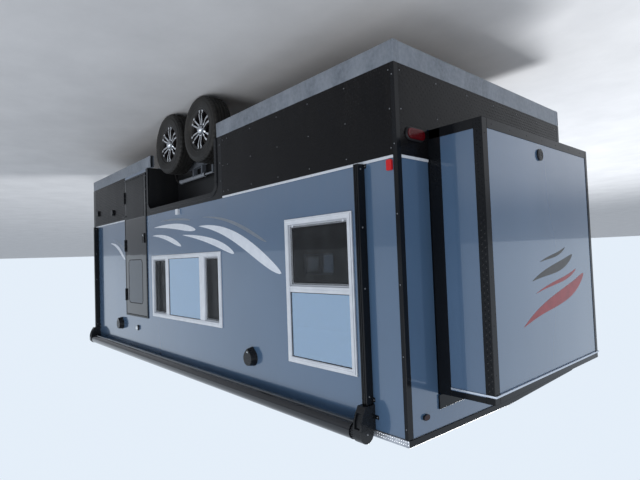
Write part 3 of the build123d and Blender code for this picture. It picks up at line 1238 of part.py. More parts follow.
with BuildPart() as slide_runners:
    with BuildSketch(REAR):
        for middle in (HOLE_RIGHT + RUNNER_INSET, HOLE_LEFT - RUNNER_INSET):
            area(
                middle - RUNNER_WIDTH / 2,
                middle + RUNNER_WIDTH / 2,
                HOLE_BOTTOM,
                SLIDE_BOTTOM - SEAT,
            )
    extrude(amount=WALL_THICKNESS)
slide_runners.part.label = "slide_runners"
export_step(slide_runners.part, "parts/slide_runners.step")

# Awning: two arms on the wall, their heads, and the rolled fabric between them
AWNING_ARMS = (
    AWNING_REAR_ARM,
    SIDE_LENGTH - AWNING_FRONT_ARM_SETBACK - AWNING_ARM_WIDTH,
)
AWNING_ROLL_HEIGHT = EAVE_HEIGHT - AWNING_ROLL_DROP
AWNING_HEAD_BOTTOM = AWNING_ROLL_HEIGHT - AWNING_HEAD_LENGTH
AWNING_FOOT = BELT_HEIGHT + AWNING_FOOT_OVER_BELT
GROOVE_STEP = AWNING_ARM_WIDTH / (AWNING_GROOVES + 1)
with BuildPart() as awning_arms:
    for rear in AWNING_ARMS:
        front = rear + AWNING_ARM_WIDTH
        with BuildSketch(PLAN.offset(AWNING_FOOT)):
            area(rear, front, -AWNING_ARM_DEPTH, 0)
            for groove in range(1, AWNING_GROOVES + 1):
                start = rear + groove * GROOVE_STEP - GROOVE_WIDTH / 2
                area(
                    start,
                    start + GROOVE_WIDTH,
                    -AWNING_ARM_DEPTH,
                    GROOVE_DEPTH - AWNING_ARM_DEPTH,
                    mode=Mode.SUBTRACT,
                )
        extrude(amount=AWNING_HEAD_BOTTOM - AWNING_FOOT)
        with BuildSketch(SIDE):
            for low in (AWNING_FOOT, AWNING_HEAD_BOTTOM - BRACKET_DROP - BRACKET_HEIGHT):
                area(rear - BRACKET_REACH, front + BRACKET_REACH, low, low + BRACKET_HEIGHT)
        extrude(amount=BRACKET_THICKNESS)
awning_arms.part.label = "awning_arms"
export_step(awning_arms.part, "parts/awning_arms.step")

HEAD_MARGIN = (AWNING_HEAD_WIDTH - AWNING_ARM_WIDTH) / 2
ROLL_OUT = AWNING_STAND_OFF - AWNING_HEAD_RADIUS
with BuildPart() as awning_heads:
    for rear in AWNING_ARMS:
        with BuildSketch(REAR.offset(rear - HEAD_MARGIN)):
            with Locations((-ROLL_OUT, AWNING_ROLL_HEIGHT)):
                Circle(AWNING_HEAD_RADIUS)
            area(
                -AWNING_STAND_OFF,
                2 * AWNING_HEAD_RADIUS - AWNING_STAND_OFF,
                AWNING_HEAD_BOTTOM,
                AWNING_ROLL_HEIGHT,
            )
        extrude(amount=AWNING_HEAD_WIDTH)
    fillet(awning_heads.edges().filter_by(Axis.X, reverse=True), AWNING_HEAD_EDGE)
awning_heads.part.label = "awning_heads"
export_step(awning_heads.part, "parts/awning_heads.step")

ROLL_REAR = AWNING_ARMS[0] + AWNING_ARM_WIDTH + HEAD_MARGIN + SEAT
ROLL_FRONT = AWNING_ARMS[1] - HEAD_MARGIN - SEAT
ROLL_BOTTOM = AWNING_ROLL_HEIGHT - AWNING_ROLL_RADIUS
with BuildPart() as awning_roll:
    with BuildSketch(REAR.offset(ROLL_REAR)):
        with Locations((-ROLL_OUT, AWNING_ROLL_HEIGHT)):
            Circle(COLLAR_RADIUS)
    extrude(amount=ROLL_FRONT - ROLL_REAR)
    with BuildSketch(REAR.offset(ROLL_REAR + COLLAR_LENGTH)):
        with Locations((-ROLL_OUT, AWNING_ROLL_HEIGHT)):
            Circle(AWNING_ROLL_RADIUS)
        area(
            -ROLL_OUT - LEAD_RAIL_WIDTH / 2,
            LEAD_RAIL_WIDTH / 2 - ROLL_OUT,
            ROLL_BOTTOM - LEAD_RAIL_DROP,
            AWNING_ROLL_HEIGHT,
        )
    extrude(amount=ROLL_FRONT - ROLL_REAR - 2 * COLLAR_LENGTH)
awning_roll.part.label = "awning_roll"
export_step(awning_roll.part, "parts/awning_roll.step")

# Porch lamps: two shield-shaped lamps and a round one over the door
with BuildPart() as porch_lamps:
    for station, height in (under_eave(REAR_PORCH_LAMP), under_eave(past_door(FRONT_PORCH_LAMP))):
        with BuildSketch(SIDE):
            with Locations((station, height + (PORCH_LAMP_HEIGHT - PORCH_LAMP_WIDTH) / 2)):
                Circle(PORCH_LAMP_WIDTH / 2)
            with Locations((station, height - PORCH_LAMP_HEIGHT / 2 + PORCH_LAMP_TIP_RADIUS)):
                Circle(PORCH_LAMP_TIP_RADIUS)
            make_hull()
        extrude(amount=PORCH_LAMP_DEPTH, taper=PORCH_LAMP_TAPER)
    with BuildSketch(SIDE):
        with Locations(under_eave(past_door(ROUND_LAMP))):
            Circle(ROUND_LAMP_RADIUS)
    extrude(amount=ROUND_LAMP_DEPTH, taper=ROUND_LAMP_TAPER)
porch_lamps.part.label = "porch_lamps"
export_step(porch_lamps.part, "parts/porch_lamps.step")

# Tail lamps, clearance lamps and side markers
with BuildPart() as tail_lamps:
    with BuildSketch(REAR.offset(-PLATE_THICKNESS)):
        with Locations(over_belt(TAIL_LAMP)):
            SlotOverall(*TAIL_LAMP_SIZE)
    extrude(amount=-TAIL_LAMP_DEPTH)
    with BuildSketch(REAR):
        with Locations(under_eave(CLEARANCE_LAMP)):
            SlotOverall(*CLEARANCE_LAMP_SIZE)
    extrude(amount=-CLEARANCE_LAMP_DEPTH)
    with BuildSketch(SIDE):
        with Locations(over_belt(SIDE_MARKER)):
            RectangleRounded(*SIDE_MARKER_SIZE, CLEARANCE_LAMP_DEPTH / 2)
    extrude(amount=CLEARANCE_LAMP_DEPTH)
    mirror(about=CENTRE)
tail_lamps.part.label = "tail_lamps"
export_step(tail_lamps.part, "parts/tail_lamps.step")

# Wall fittings: the inlets by the door, the box over the well and the door's catch
with BuildPart() as wall_fittings:
    with BuildSketch(SIDE.offset(PLATE_THICKNESS)):
        with Locations(over_belt(past_door(ROUND_INLET))):
            Circle(ROUND_INLET_RADIUS)
        with Locations((SIDE_LENGTH - OVAL_INLET_SETBACK, BELT_HEIGHT - OVAL_INLET_DROP)):
            SlotOverall(OVAL_INLET_SIZE[1], OVAL_INLET_SIZE[0], rotation=90)
    extrude(amount=FITTING_DEPTH)
    with BuildSketch(SIDE.offset(PLATE_THICKNESS)):
        with Locations((DOOR_FRAME_FRONT + CATCH_LENGTH / 2, BELT_HEIGHT - CATCH_UNDER_BELT)):
            Rectangle(CATCH_LENGTH, CATCH_SECTION)
    extrude(amount=CATCH_WALL_DEPTH)
    with BuildSketch(SIDE):
        with Locations(over_belt(WHITE_BOX)):
            RectangleRounded(*WHITE_BOX_SIZE, FITTING_DEPTH / 4)
    extrude(amount=FITTING_DEPTH)
wall_fittings.part.label = "wall_fittings"
export_step(wall_fittings.part, "parts/wall_fittings.step")
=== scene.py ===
# Ice fishing hut: a steel skid frame on tandem wheels, a sheet-clad body with a slide-out rear
# room, a side door, windows and a roll-up awning. Metres, +X to the hitch, +Z up.
import math

import bmesh
import bpy
from mathutils import Matrix, Vector
from mathutils.bvhtree import BVHTree


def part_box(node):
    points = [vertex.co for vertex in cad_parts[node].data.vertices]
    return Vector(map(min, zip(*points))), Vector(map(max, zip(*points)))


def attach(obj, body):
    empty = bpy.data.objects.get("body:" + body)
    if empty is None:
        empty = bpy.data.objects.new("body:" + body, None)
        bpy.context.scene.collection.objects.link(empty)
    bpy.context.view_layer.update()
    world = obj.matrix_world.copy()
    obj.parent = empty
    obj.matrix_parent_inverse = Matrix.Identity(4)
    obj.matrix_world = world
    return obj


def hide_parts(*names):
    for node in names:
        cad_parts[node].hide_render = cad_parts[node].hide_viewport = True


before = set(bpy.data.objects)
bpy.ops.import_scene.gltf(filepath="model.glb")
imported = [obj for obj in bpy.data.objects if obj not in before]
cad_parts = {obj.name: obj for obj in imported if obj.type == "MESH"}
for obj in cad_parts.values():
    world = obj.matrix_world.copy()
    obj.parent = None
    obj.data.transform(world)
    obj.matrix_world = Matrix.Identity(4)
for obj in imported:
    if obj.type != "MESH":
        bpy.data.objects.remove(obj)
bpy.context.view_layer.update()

# Camera: a phone held the wrong way up off the rear corner on the entry-door side, near eye
# height. Its main lens sees about seventy degrees across.


def add_to_scene(name, data):
    """Makes an object of its data and puts it in the scene."""
    thing = bpy.data.objects.new(name, data)
    bpy.context.scene.collection.objects.link(thing)
    return thing


eye_spot = (-5.963, -3.5489, 1.8148)
view_yaw, view_pitch, view_roll = 0.727014, -0.038863, -0.035764
ahead = Vector((
    math.cos(view_pitch) * math.cos(view_yaw),
    math.cos(view_pitch) * math.sin(view_yaw),
    math.sin(view_pitch),
))
level = Vector((math.sin(view_yaw), -math.cos(view_yaw), 0.0))
over = level.cross(ahead)
picture_right = math.cos(view_roll) * level + math.sin(view_roll) * over
picture_up = math.cos(view_roll) * over - math.sin(view_roll) * level
camera_data = bpy.data.cameras.new("rear_corner_view")
camera_data.sensor_width = 36.0
camera_data.lens = 26.055
camera_data.clip_start = 0.05
camera_data.clip_end = 400.0
camera = add_to_scene("rear_corner_view", camera_data)
turned_over = Matrix((-picture_right, -picture_up, -ahead)).transposed().to_4x4()
camera.matrix_world = Matrix.Translation(eye_spot) @ turned_over
bpy.context.scene.camera = camera

# Skid frame: welded box-section rails round the body, with cross members, the tongue, the
# coupler and the jack. Steel under a coat of silver paint, with cloudy wipe marks and weld
# smoke left in it, and a rippled weld down each corner. The silver is painted darker and
# bluer than it is, as painted shade under an open sky.


def finish(name, colour, roughness=0.5, metallic=0.0, coat=0.0, coat_roughness=0.05, specular=0.5):
    """Starts a material and returns it with its node tree and its Principled shader."""
    material = bpy.data.materials.new(name)
    material.use_nodes = True
    shader = material.node_tree.nodes["Principled BSDF"]
    shader.inputs["Base Color"].default_value = (*colour, 1.0)
    shader.inputs["Roughness"].default_value = roughness
    shader.inputs["Metallic"].default_value = metallic
    shader.inputs["Coat Weight"].default_value = coat
    shader.inputs["Coat Roughness"].default_value = coat_roughness
    shader.inputs["Specular IOR Level"].default_value = specular
    return material, material.node_tree, shader


def join(tree, source, socket):
    """Links a socket to an input, or sets the input when the source is a plain value."""
    if isinstance(source, bpy.types.NodeSocket):
        tree.links.new(source, socket)
    elif socket.type == "RGBA" and len(source) == 3:
        socket.default_value = (*source, 1.0)
    else:
        socket.default_value = source


def node(tree, kind, terms=(), **settings):
    """Adds a node with its settings and with terms for its inputs, and returns its outputs."""
    made = tree.nodes.new("ShaderNode" + kind)
    for name, value in settings.items():
        setattr(made, name, value)
    for key, term in dict(terms).items():
        join(tree, term, made.inputs[key])
    return made.outputs


def sums(tree, operation, *terms):
    """A maths node on sockets or numbers."""
    return node(tree, "Math", enumerate(terms), operation=operation)[0]


def spread(tree, value, low, high, to_low=0.0, to_high=1.0):
    """Maps a value from one range to another, held at the ends."""
    return node(tree, "MapRange", enumerate((value, low, high, to_low, to_high)))[0]


def blend_colours(tree, share, first, second):
    """Mixes two colours, each a socket or three numbers."""
    return node(tree, "Mix", {0: share, 6: first, 7: second}, data_type="RGBA")[2]


def clouds(tree, scale, detail=3.0, roughness=0.5, stretch=(1.0, 1.0, 1.0)):
    """Soft noise from 0 to 1, in the hut's own metres, stretched along each axis."""
    spot = node(tree, "TexCoord")["Object"]
    placed = node(tree, "Mapping", {"Vector": spot, "Scale": stretch})["Vector"]
    terms = {"Vector": placed, "Scale": scale, "Detail": detail, "Roughness": roughness}
    return node(tree, "TexNoise", terms)["Fac"]


def hut_axes(tree):
    """A point's X, Y and Z in the hut's own metres."""
    return node(tree, "SeparateXYZ", {0: node(tree, "TexCoord")["Object"]})


def relief(shader, height, depth, strength=1.0):
    """Raises the surface by a height map, depth in metres."""
    tree = shader.id_data
    raised = node(tree, "Bump", {"Height": height, "Distance": depth, "Strength": strength})
    tree.links.new(raised["Normal"], shader.inputs["Normal"])


def shared_effect(name, inputs, outputs):
    """Starts a node group with named colours and numbers, and returns it with its two ends."""
    group = bpy.data.node_groups.new(name, "ShaderNodeTree")
    for way, sockets in (("INPUT", inputs), ("OUTPUT", outputs)):
        for label, value in sockets.items():
            kind = "NodeSocketColor" if isinstance(value, tuple) else "NodeSocketFloat"
            group.interface.new_socket(name=label, in_out=way, socket_type=kind).default_value = value
    return group, group.nodes.new("NodeGroupInput"), group.nodes.new("NodeGroupOutput")


def put(tree, group, **values):
    """Places a shared effect in a material with its own values."""
    terms = {label.replace("_", " "): value for label, value in values.items()}
    return node(tree, "Group", terms, node_tree=group)


plain_grey, dust = (0.5, 0.5, 0.5, 1.0), (0.20, 0.18, 0.155, 1.0)
road_film, film_in, film_out = shared_effect(
    "road film",
    {"Paint": plain_grey, "Film": dust, "Reach": 1.2, "Amount": 0.3, "Gloss": 0.3},
    {"Colour": plain_grey, "Roughness": 0.3},
)
near_road = spread(road_film, hut_axes(road_film)["Z"], 0.3, film_in.outputs["Reach"], 1.0, 0.0)
streaks = spread(road_film, clouds(road_film, 1.0, 5.0, 0.62, (9.0, 9.0, 1.6)), 0.30, 0.78)
grit = spread(road_film, clouds(road_film, 46.0, 2.0, 0.6), 0.40, 0.75, 0.45, 1.0)
film_lie = sums(road_film, "MULTIPLY", sums(road_film, "MULTIPLY", near_road, streaks), grit)
film_share = sums(road_film, "MULTIPLY", film_lie, film_in.outputs["Amount"])
film_colour = blend_colours(road_film, film_share, film_in.outputs["Paint"], film_in.outputs["Film"])
film_dull = sums(road_film, "MULTIPLY", film_share, 0.6)
film_gloss = sums(road_film, "ADD", film_in.outputs["Gloss"], film_dull)
road_film.links.new(film_colour, film_out.inputs["Colour"])
road_film.links.new(film_gloss, film_out.inputs["Roughness"])


def film_over(shader, reach, amount, gloss, paint=None, rougher=None):
    """Lays the road film over a paint, or over the shader's own colour."""
    tree = shader.id_data
    if paint is None:
        paint = tuple(shader.inputs["Base Color"].default_value)
    filmed = put(tree, road_film, Paint=paint, Reach=reach, Amount=amount, Gloss=gloss)
    tree.links.new(filmed["Colour"], shader.inputs["Base Color"])
    dull = filmed["Roughness"]
    if rougher is not None:
        dull = sums(tree, "ADD", dull, rougher)
    tree.links.new(dull, shader.inputs["Roughness"])


# Painted shade: the silver's colours are darker and bluer than the bare paint, as under an open sky.
silver_paint_with_painted_shade, tree, shader = finish("silver_steel_painted_blue_shade", (0.22, 0.25, 0.295), 0.42, 0.15)
smears = spread(tree, clouds(tree, 5.5, 6.0, 0.66, (1.0, 1.0, 0.5)), 0.34, 0.68)
bloom = spread(tree, clouds(tree, 34.0, 3.0, 0.55), 0.3, 0.7)
steel = blend_colours(tree, smears, (0.105, 0.128, 0.160), (0.215, 0.245, 0.290))
steel = blend_colours(tree, sums(tree, "MULTIPLY", bloom, 0.3), steel, (0.34, 0.37, 0.42))
film_over(shader, 0.62, 0.30, 0.36, steel, sums(tree, "MULTIPLY", smears, 0.14))
relief(shader, clouds(tree, 120.0, 3.0), 0.0012, 0.5)


def dress(material, *names):
    """Gives CAD nodes one material."""
    for name in names:
        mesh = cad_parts[name].data
        mesh.materials.clear()
        mesh.materials.append(material)


def round_off(piece, width):
    """Adds a small bevel along a piece's sharp edges."""
    edge = piece.modifiers.new("eased_edge", "BEVEL")
    edge.width = width
    edge.segments = 2
    edge.limit_method = "ANGLE"
    return edge


def ease_edges(width, *names):
    """Rounds the sharp edges of CAD nodes, as a brake, a mould or a file leaves them."""
    for name in names:
        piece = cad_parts[name]
        piece.modifiers.new("closed_seams", "WELD").merge_threshold = 0.00002
        round_off(piece, width).angle_limit = math.radians(38.0)
        piece.modifiers.new("even_shading", "WEIGHTED_NORMAL").weight = 100


dress(silver_paint_with_painted_shade, "side_skids", "end_skids", "main_rails", "cross_members", "tongue_rails")
dress(silver_paint_with_painted_shade, "coupler", "jack")
ease_edges(0.006, "side_skids", "end_skids", "main_rails")
ease_edges(0.004, "tongue_rails", "cross_members")


def skin(rings, closed=False):
    """A skin over rings of as many points each, capped unless its last ring joins its first."""
    around = len(rings[0])
    points = [point for ring in rings for point in ring]
    faces = []
    for number in range(len(rings) if closed else len(rings) - 1):
        row, upper = number * around, (number + 1) % len(rings) * around
        for step in range(around):
            after = (step + 1) % around
            faces.append((row + step, row + after, upper + after, upper + step))
    if not closed:
        faces.append(tuple(reversed(range(around))))
        faces.append(tuple(range(len(points) - around, len(points))))
    return points, faces


def block(low, high):
    """A box between two corners."""
    corners = ((low[1], low[2]), (high[1], low[2]), (high[1], high[2]), (low[1], high[2]))
    return skin([[Vector((x, y, z)) for y, z in corners] for x in (low[0], high[0])])


def make_piece(name, shapes, material, body="hut", smooth_to=None, eased=None):
    """Makes one piece of several skins, with its finish and the body it rides on."""
    points, faces = [], []
    for more_points, more_faces in shapes:
        first = len(points)
        points += more_points
        faces += [tuple(first + corner for corner in face) for face in more_faces]
    mesh = bpy.data.meshes.new(name)
    mesh.from_pydata(points, [], faces)
    build = bmesh.new()
    build.from_mesh(mesh)
    bmesh.ops.remove_doubles(build, verts=build.verts, dist=0.00001)
    bmesh.ops.recalc_face_normals(build, faces=build.faces)
    build.to_mesh(mesh)
    build.free()
    mesh.materials.append(material)
    if smooth_to is not None:
        mesh.shade_smooth()
        mesh.set_sharp_from_angle(angle=math.radians(smooth_to))
    piece = add_to_scene(name, mesh)
    if eased is not None:
        round_off(piece, eased)
    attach(piece, body)
    return piece


def weld_bead(start, end, out, radius=0.006, pitch=0.005):
    """A weld's ripples from start to end, a row of overlapping scales that stand out."""
    start, end, out = Vector(start), Vector(end), Vector(out).normalized()
    beside = (end - start).normalized().cross(out)
    count = round((end - start).length / pitch) * 2
    angles = [math.pi * step / 6 for step in range(7)]
    rings = []
    for number in range(count + 1):
        swell = radius * (1.0 if number % 2 else 0.78)
        middle = start.lerp(end, number / count)
        arc = [math.cos(angle) * beside + 0.6 * math.sin(angle) * out for angle in angles]
        rings.append([middle + swell * way for way in arc])
    return skin(rings)


skid_low, skid_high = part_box("side_skids")
weld_end, cap_wide, cap_thick, cap_lap, cap_set = 0.008, 0.0505, 0.006, 0.0005, 0.0006
corner_welds, end_caps = [], []
for side in (skid_low.y, skid_high.y):
    way = math.copysign(1.0, side)
    bottom = (skid_low.x, side, skid_low.z + weld_end)
    top = (skid_low.x, side, skid_high.z - weld_end)
    corner_welds.append(weld_bead(bottom, top, (-1.0, way, 0.0)))
    inner, outer = sorted((side - way * cap_wide, side - way * cap_lap))
    cap_rear, cap_front = skid_low.x - cap_set, skid_low.x + cap_thick
    end_caps.append(
        block((cap_rear, inner, skid_low.z + cap_lap), (cap_front, outer, skid_high.z - cap_lap))
    )
make_piece("skid_corner_welds", corner_welds, silver_paint_with_painted_shade, smooth_to=50.0)
make_piece("skid_end_caps", end_caps, silver_paint_with_painted_shade, eased=0.0015)

# Running gear: axles under satin black enamel and grey lifting beams, dusty from the road, with
# the grey cylinders over them. Black hoses with crimped steel ends run down.
black_enamel, tree, shader = finish("satin_black_enamel", (0.012, 0.013, 0.016), 0.38, specular=0.3)
chips = sums(tree, "MULTIPLY", spread(tree, clouds(tree, 60.0, 4.0, 0.7), 0.60, 0.74), 0.35)
enamel = blend_colours(tree, chips, (0.011, 0.012, 0.015), (0.06, 0.065, 0.07))
film_over(shader, 1.1, 0.30, 0.34, enamel)
relief(shader, clouds(tree, 90.0, 4.0), 0.001, 0.5)


def uneven(name, colour, roughness, grain=None, tones=None, gloss=None, film=None, bump=None,
           span=(0.3, 0.7), **rest):
    """A finish that one grain of clouds varies in tone, gloss and relief.

    The grain is the clouds' scale, detail, roughness and stretch. Tones are two colours and gloss
    two roughnesses over its span, bump is a depth and a strength, and film lays road film.
    """
    material, tree, shader = finish(name, colour, roughness, **rest)
    cloud = clouds(tree, *grain) if grain else None
    if tones:
        mixed = blend_colours(tree, spread(tree, cloud, *span), *tones)
        tree.links.new(mixed, shader.inputs["Base Color"])
    if gloss:
        tree.links.new(spread(tree, cloud, *span, *gloss), shader.inputs["Roughness"])
    if film:
        film_over(shader, *film)
    if bump:
        relief(shader, cloud, *bump)
    return material


grey_cylinder = uneven(
    "grey_cylinder_paint", (0.25, 0.275, 0.315), 0.34, (150.0,),
    film=(1.1, 0.30, 0.32), bump=(0.0006, 0.5),
)
grey_beam = uneven(
    "grey_beam_paint", (0.10, 0.115, 0.14), 0.42, (120.0,),
    film=(1.1, 0.35, 0.40), bump=(0.0008, 0.5),
)


def dress_by_face(name, materials, which):
    """Gives a CAD node several materials, and each face the one that a rule picks."""
    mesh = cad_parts[name].data
    mesh.materials.clear()
    for material in materials:
        mesh.materials.append(material)
    for polygon in mesh.polygons:
        polygon.material_index = int(which(polygon.center, polygon.normal))


dress(black_enamel, "axles")
cylinder_low = 0.7385
dress_by_face("lift_gear", (grey_beam, grey_cylinder), lambda spot, normal: spot.z > cylinder_low)
ease_edges(0.003, "axles")


def facing(spot, outward):
    """A place at a spot whose Z axis points outward."""
    return Matrix.Translation(spot) @ Vector(outward).to_track_quat("Z", "Y").to_matrix().to_4x4()


def turned(profile, place, around=24, closed=False):
    """A profile of radii and heights turned about a place's Z axis. An open one is capped."""
    angles = [math.tau * step / around for step in range(around)]
    return skin([
        [place @ Vector((radius * math.cos(angle), radius * math.sin(angle), height)) for angle in angles]
        for radius, height in profile
    ], closed)


def millimetres(*points):
    """Points written in millimetres, as metres."""
    return [tuple(number / 1000 for number in point) for point in points]


cylinder_axis_z, cylinder_radius, gland_length = 0.762, 0.024, 0.033
cylinder_rear, cylinder_front = -0.950, -0.285
cylinder_sides = (-0.8855, 1.0155)
gland_profile = (
    (cylinder_radius, 0.0),
    (cylinder_radius + 0.004, 0.003),
    (cylinder_radius + 0.004, 0.030),
    (cylinder_radius, gland_length),
)
steel_fitting = uneven(
    "bright_steel", (0.50, 0.52, 0.55), 0.28, (260.0, 3.0, 0.6),
    ((0.36, 0.38, 0.41), (0.60, 0.62, 0.65)), (0.20, 0.36), metallic=0.9,
)
glands = [
    turned(gland_profile, facing((start, side, cylinder_axis_z), (1, 0, 0)), 32)
    for side in cylinder_sides
    for start in (cylinder_rear, cylinder_front - gland_length)
]
make_piece("lift_cylinder_glands", glands, grey_cylinder, smooth_to=40.0)

hose_rubber = uneven(
    "black_hose_rubber", (0.012, 0.012, 0.014), 0.55, (400.0, 2.0),
    film=(1.1, 0.35, 0.5), bump=(0.0004, 0.6), specular=0.3,
)
hose_radius, hose_reach, hose_end_z = 0.009, 0.165, 0.600
crimp_profile = millimetres((10.5, 0), (12.5, 1), (12.5, 16), (10.8, 18), (12, 20), (12, 28), (10, 30))
for label, side in zip(("right", "left"), cylinder_sides):
    line = bpy.data.curves.new("lift_hose_" + label, "CURVE")
    line.dimensions = "3D"
    line.bevel_depth = hose_radius
    line.bevel_resolution = 5
    line.resolution_u = 24
    line.use_fill_caps = True
    run = line.splines.new("NURBS")
    run.points.add(2)
    route = (
        (cylinder_front, side, cylinder_axis_z),
        (cylinder_front + hose_reach, side, cylinder_axis_z),
        (cylinder_front + hose_reach, side, hose_end_z),
    )
    for point, spot in zip(run.points, route):
        point.co = (*spot, 1.0)
    run.order_u = 3
    run.use_endpoint_u = True
    line.materials.append(hose_rubber)
    hose = add_to_scene("lift_hose_" + label, line)
    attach(hose, "hut")
    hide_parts("lift_hoses")
    crimps = [
        turned(crimp_profile, facing(route[0], (1, 0, 0)), 24),
        turned(crimp_profile, facing(route[2], (0, 0, 1)), 24),
    ]
    ends = make_piece("lift_hose_ends_" + label, crimps, steel_fitting, smooth_to=35.0)

# Floor and wheel boxes: plywood sheets over the frame, and formed liners of black textured
# sheet over the wheels, open to the road below.
plywood = uneven(
    "floor_plywood", (0.42, 0.30, 0.17), 0.62, (3.0, 6.0, 0.6, (1.2, 22.0, 22.0)),
    ((0.24, 0.15, 0.08), (0.42, 0.30, 0.18)), bump=(0.0008, 0.5),
)
dress(plywood, "floor_deck")
well_liner = uneven(
    "black_well_liner", (0.008, 0.009, 0.011), 0.45, (260.0, 2.0),
    film=(1.3, 0.15, 0.40), bump=(0.0006, 0.6), specular=0.3,
)

# Walls: bonded sheet over framing, sprayed a gloss grey outside, with the blue cast of open-sky
# shade painted half into its colour, and pine boards inside. The sheet dips a little between
# its studs, so reflections waver in it.
stud_pitch = 0.406
sheet_waver, waver_in, waver_out = shared_effect(
    "sheet waver", {"Stud Pitch": stud_pitch, "Stud Share": 0.35}, {"Height": 0.0}
)
waver_axes = hut_axes(sheet_waver)
along_wall = sums(sheet_waver, "ADD", waver_axes["X"], waver_axes["Y"])
bays = sums(sheet_waver, "DIVIDE", along_wall, waver_in.outputs["Stud Pitch"])
bay = sums(sheet_waver, "MULTIPLY", bays, math.tau)
bay_wave = spread(sheet_waver, sums(sheet_waver, "COSINE", bay), -1.0, 1.0)
swell = clouds(sheet_waver, 2.6, 2.0, 0.45, (1.0, 1.0, 0.6))
bay_share = sums(sheet_waver, "MULTIPLY", bay_wave, waver_in.outputs["Stud Share"])
sheet_waver.links.new(sums(sheet_waver, "ADD", swell, bay_share), waver_out.inputs["Height"])

# Painted light: half of this grey paint's blue is the cast of open-sky shade, painted into its colour.
wall_paint_with_painted_sky_blue, tree, shader = finish("gloss_grey_sheet_painted_sky_blue", (0.062, 0.117, 0.205), 0.22, 0.0, 1.0, 0.03)
shade = spread(tree, clouds(tree, 1.3, 3.0, 0.5, (1.0, 1.0, 0.7)), 0.3, 0.7)
grey_and_painted_sky_blue = blend_colours(tree, shade, (0.057, 0.109, 0.193), (0.067, 0.124, 0.217))
film_over(shader, 2.2, 0.14, 0.20, grey_and_painted_sky_blue)
relief(shader, put(tree, sheet_waver)["Height"], 0.0025, 0.5)

pine_boards, tree, shader = finish("pine_lining_boards", (0.48, 0.30, 0.15), 0.42, 0.0, 0.25, 0.2)
board_height = 0.088
course = sums(tree, "DIVIDE", hut_axes(tree)["Z"], board_height)
in_board = sums(tree, "FRACT", course)
groove = sums(tree, "MINIMUM", in_board, sums(tree, "SUBTRACT", 1.0, in_board))
face = spread(tree, groove, 0.0, 0.05)
tone = node(tree, "TexWhiteNoise", {"W": sums(tree, "FLOOR", course)}, noise_dimensions="1D")
grain = spread(tree, clouds(tree, 2.5, 5.0, 0.62, (1.5, 1.5, 26.0)), 0.3, 0.7)
board = blend_colours(tree, grain, (0.26, 0.14, 0.06), (0.44, 0.28, 0.14))
board = blend_colours(tree, sums(tree, "MULTIPLY", tone["Value"], 0.35), board, (0.50, 0.33, 0.17))
board = blend_colours(tree, face, (0.10, 0.06, 0.025), board)
tree.links.new(board, shader.inputs["Base Color"])
relief(shader, face, 0.003, 0.8)

sheet_and_pine = (wall_paint_with_painted_sky_blue, pine_boards)
lining_right, lining_left, lining_rear, box_top = -1.2, 1.33, -4.09, 1.1
for part in ("rear", "middle", "post", "door_bands", "front"):
    dress_by_face(
        "right_wall_" + part,
        sheet_and_pine,
        lambda spot, normal: normal.y > 0.5 and spot.y > lining_right,
    )
for wall in ("left_wall_ends", "left_wall_middle"):
    dress_by_face(wall, sheet_and_pine, lambda spot, normal: normal.y < -0.5 and spot.y < lining_left)
for wall in ("rear_wall_bands", "rear_wall_posts"):
    dress_by_face(wall, sheet_and_pine, lambda spot, normal: normal.x > 0.5 and spot.x > lining_rear)
dress_by_face("nose_walls", sheet_and_pine, lambda spot, normal: normal.x < -0.2)
dress_by_face(
    "wheel_boxes", (well_liner, pine_boards), lambda spot, normal: normal.z > 0.5 and spot.z > box_top
)

# Side sweeps: cut vinyl film stuck to the wall, tapered white bands with dull grey ones. They
# slant down from the tall window's sill to the wheels, and again beyond the door.
film_grain, film_span = (14.0, 4.0, 0.6), (0.35, 0.7)
white_film, grey_film = (
    uneven(name, colour, 0.30, film_grain, tones, span=film_span, coat=0.5, coat_roughness=0.08)
    for name, colour, tones in (
        ("white_cut_vinyl", (0.62, 0.67, 0.74), ((0.58, 0.63, 0.71), (0.66, 0.71, 0.78))),
        ("grey_cut_vinyl", (0.14, 0.17, 0.21), ((0.12, 0.15, 0.19), (0.16, 0.19, 0.235))),
    )
)


def tapered_band(line, width, on_wall, film=0.0006, tip=0.0004, steps=48):
    """A band of film along a cubic line of four points, widest a third along, pointed at both ends."""
    rings = []
    for step in range(steps + 1):
        share = step / steps
        left = 1.0 - share
        weights = (left ** 3, 3 * left * left * share, 3 * left * share * share, share ** 3)
        along, up = (sum(weight * point[axis] for weight, point in zip(weights, line)) for axis in (0, 1))
        half = 0.5 * width * math.sin(math.pi * share ** 0.7) ** 0.8 + tip
        corners = ((film, half), (film, -half), (0.0, -half), (0.0, half))
        rings.append([on_wall(along, up + rise, proud) for proud, rise in corners])
    return skin(rings)


def lay_sweeps(name, lines, on_wall, film, body="hut"):
    """Makes one piece of several bands, each a line of four points and a width."""
    make_piece(name, [tapered_band(line, width, on_wall) for line, width in lines], film, body)


right_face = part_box("right_wall_middle")[0].y


def on_right_wall(along, up, proud):
    """A point on the door-side wall, standing out by proud."""
    return Vector((along, right_face - proud, up))


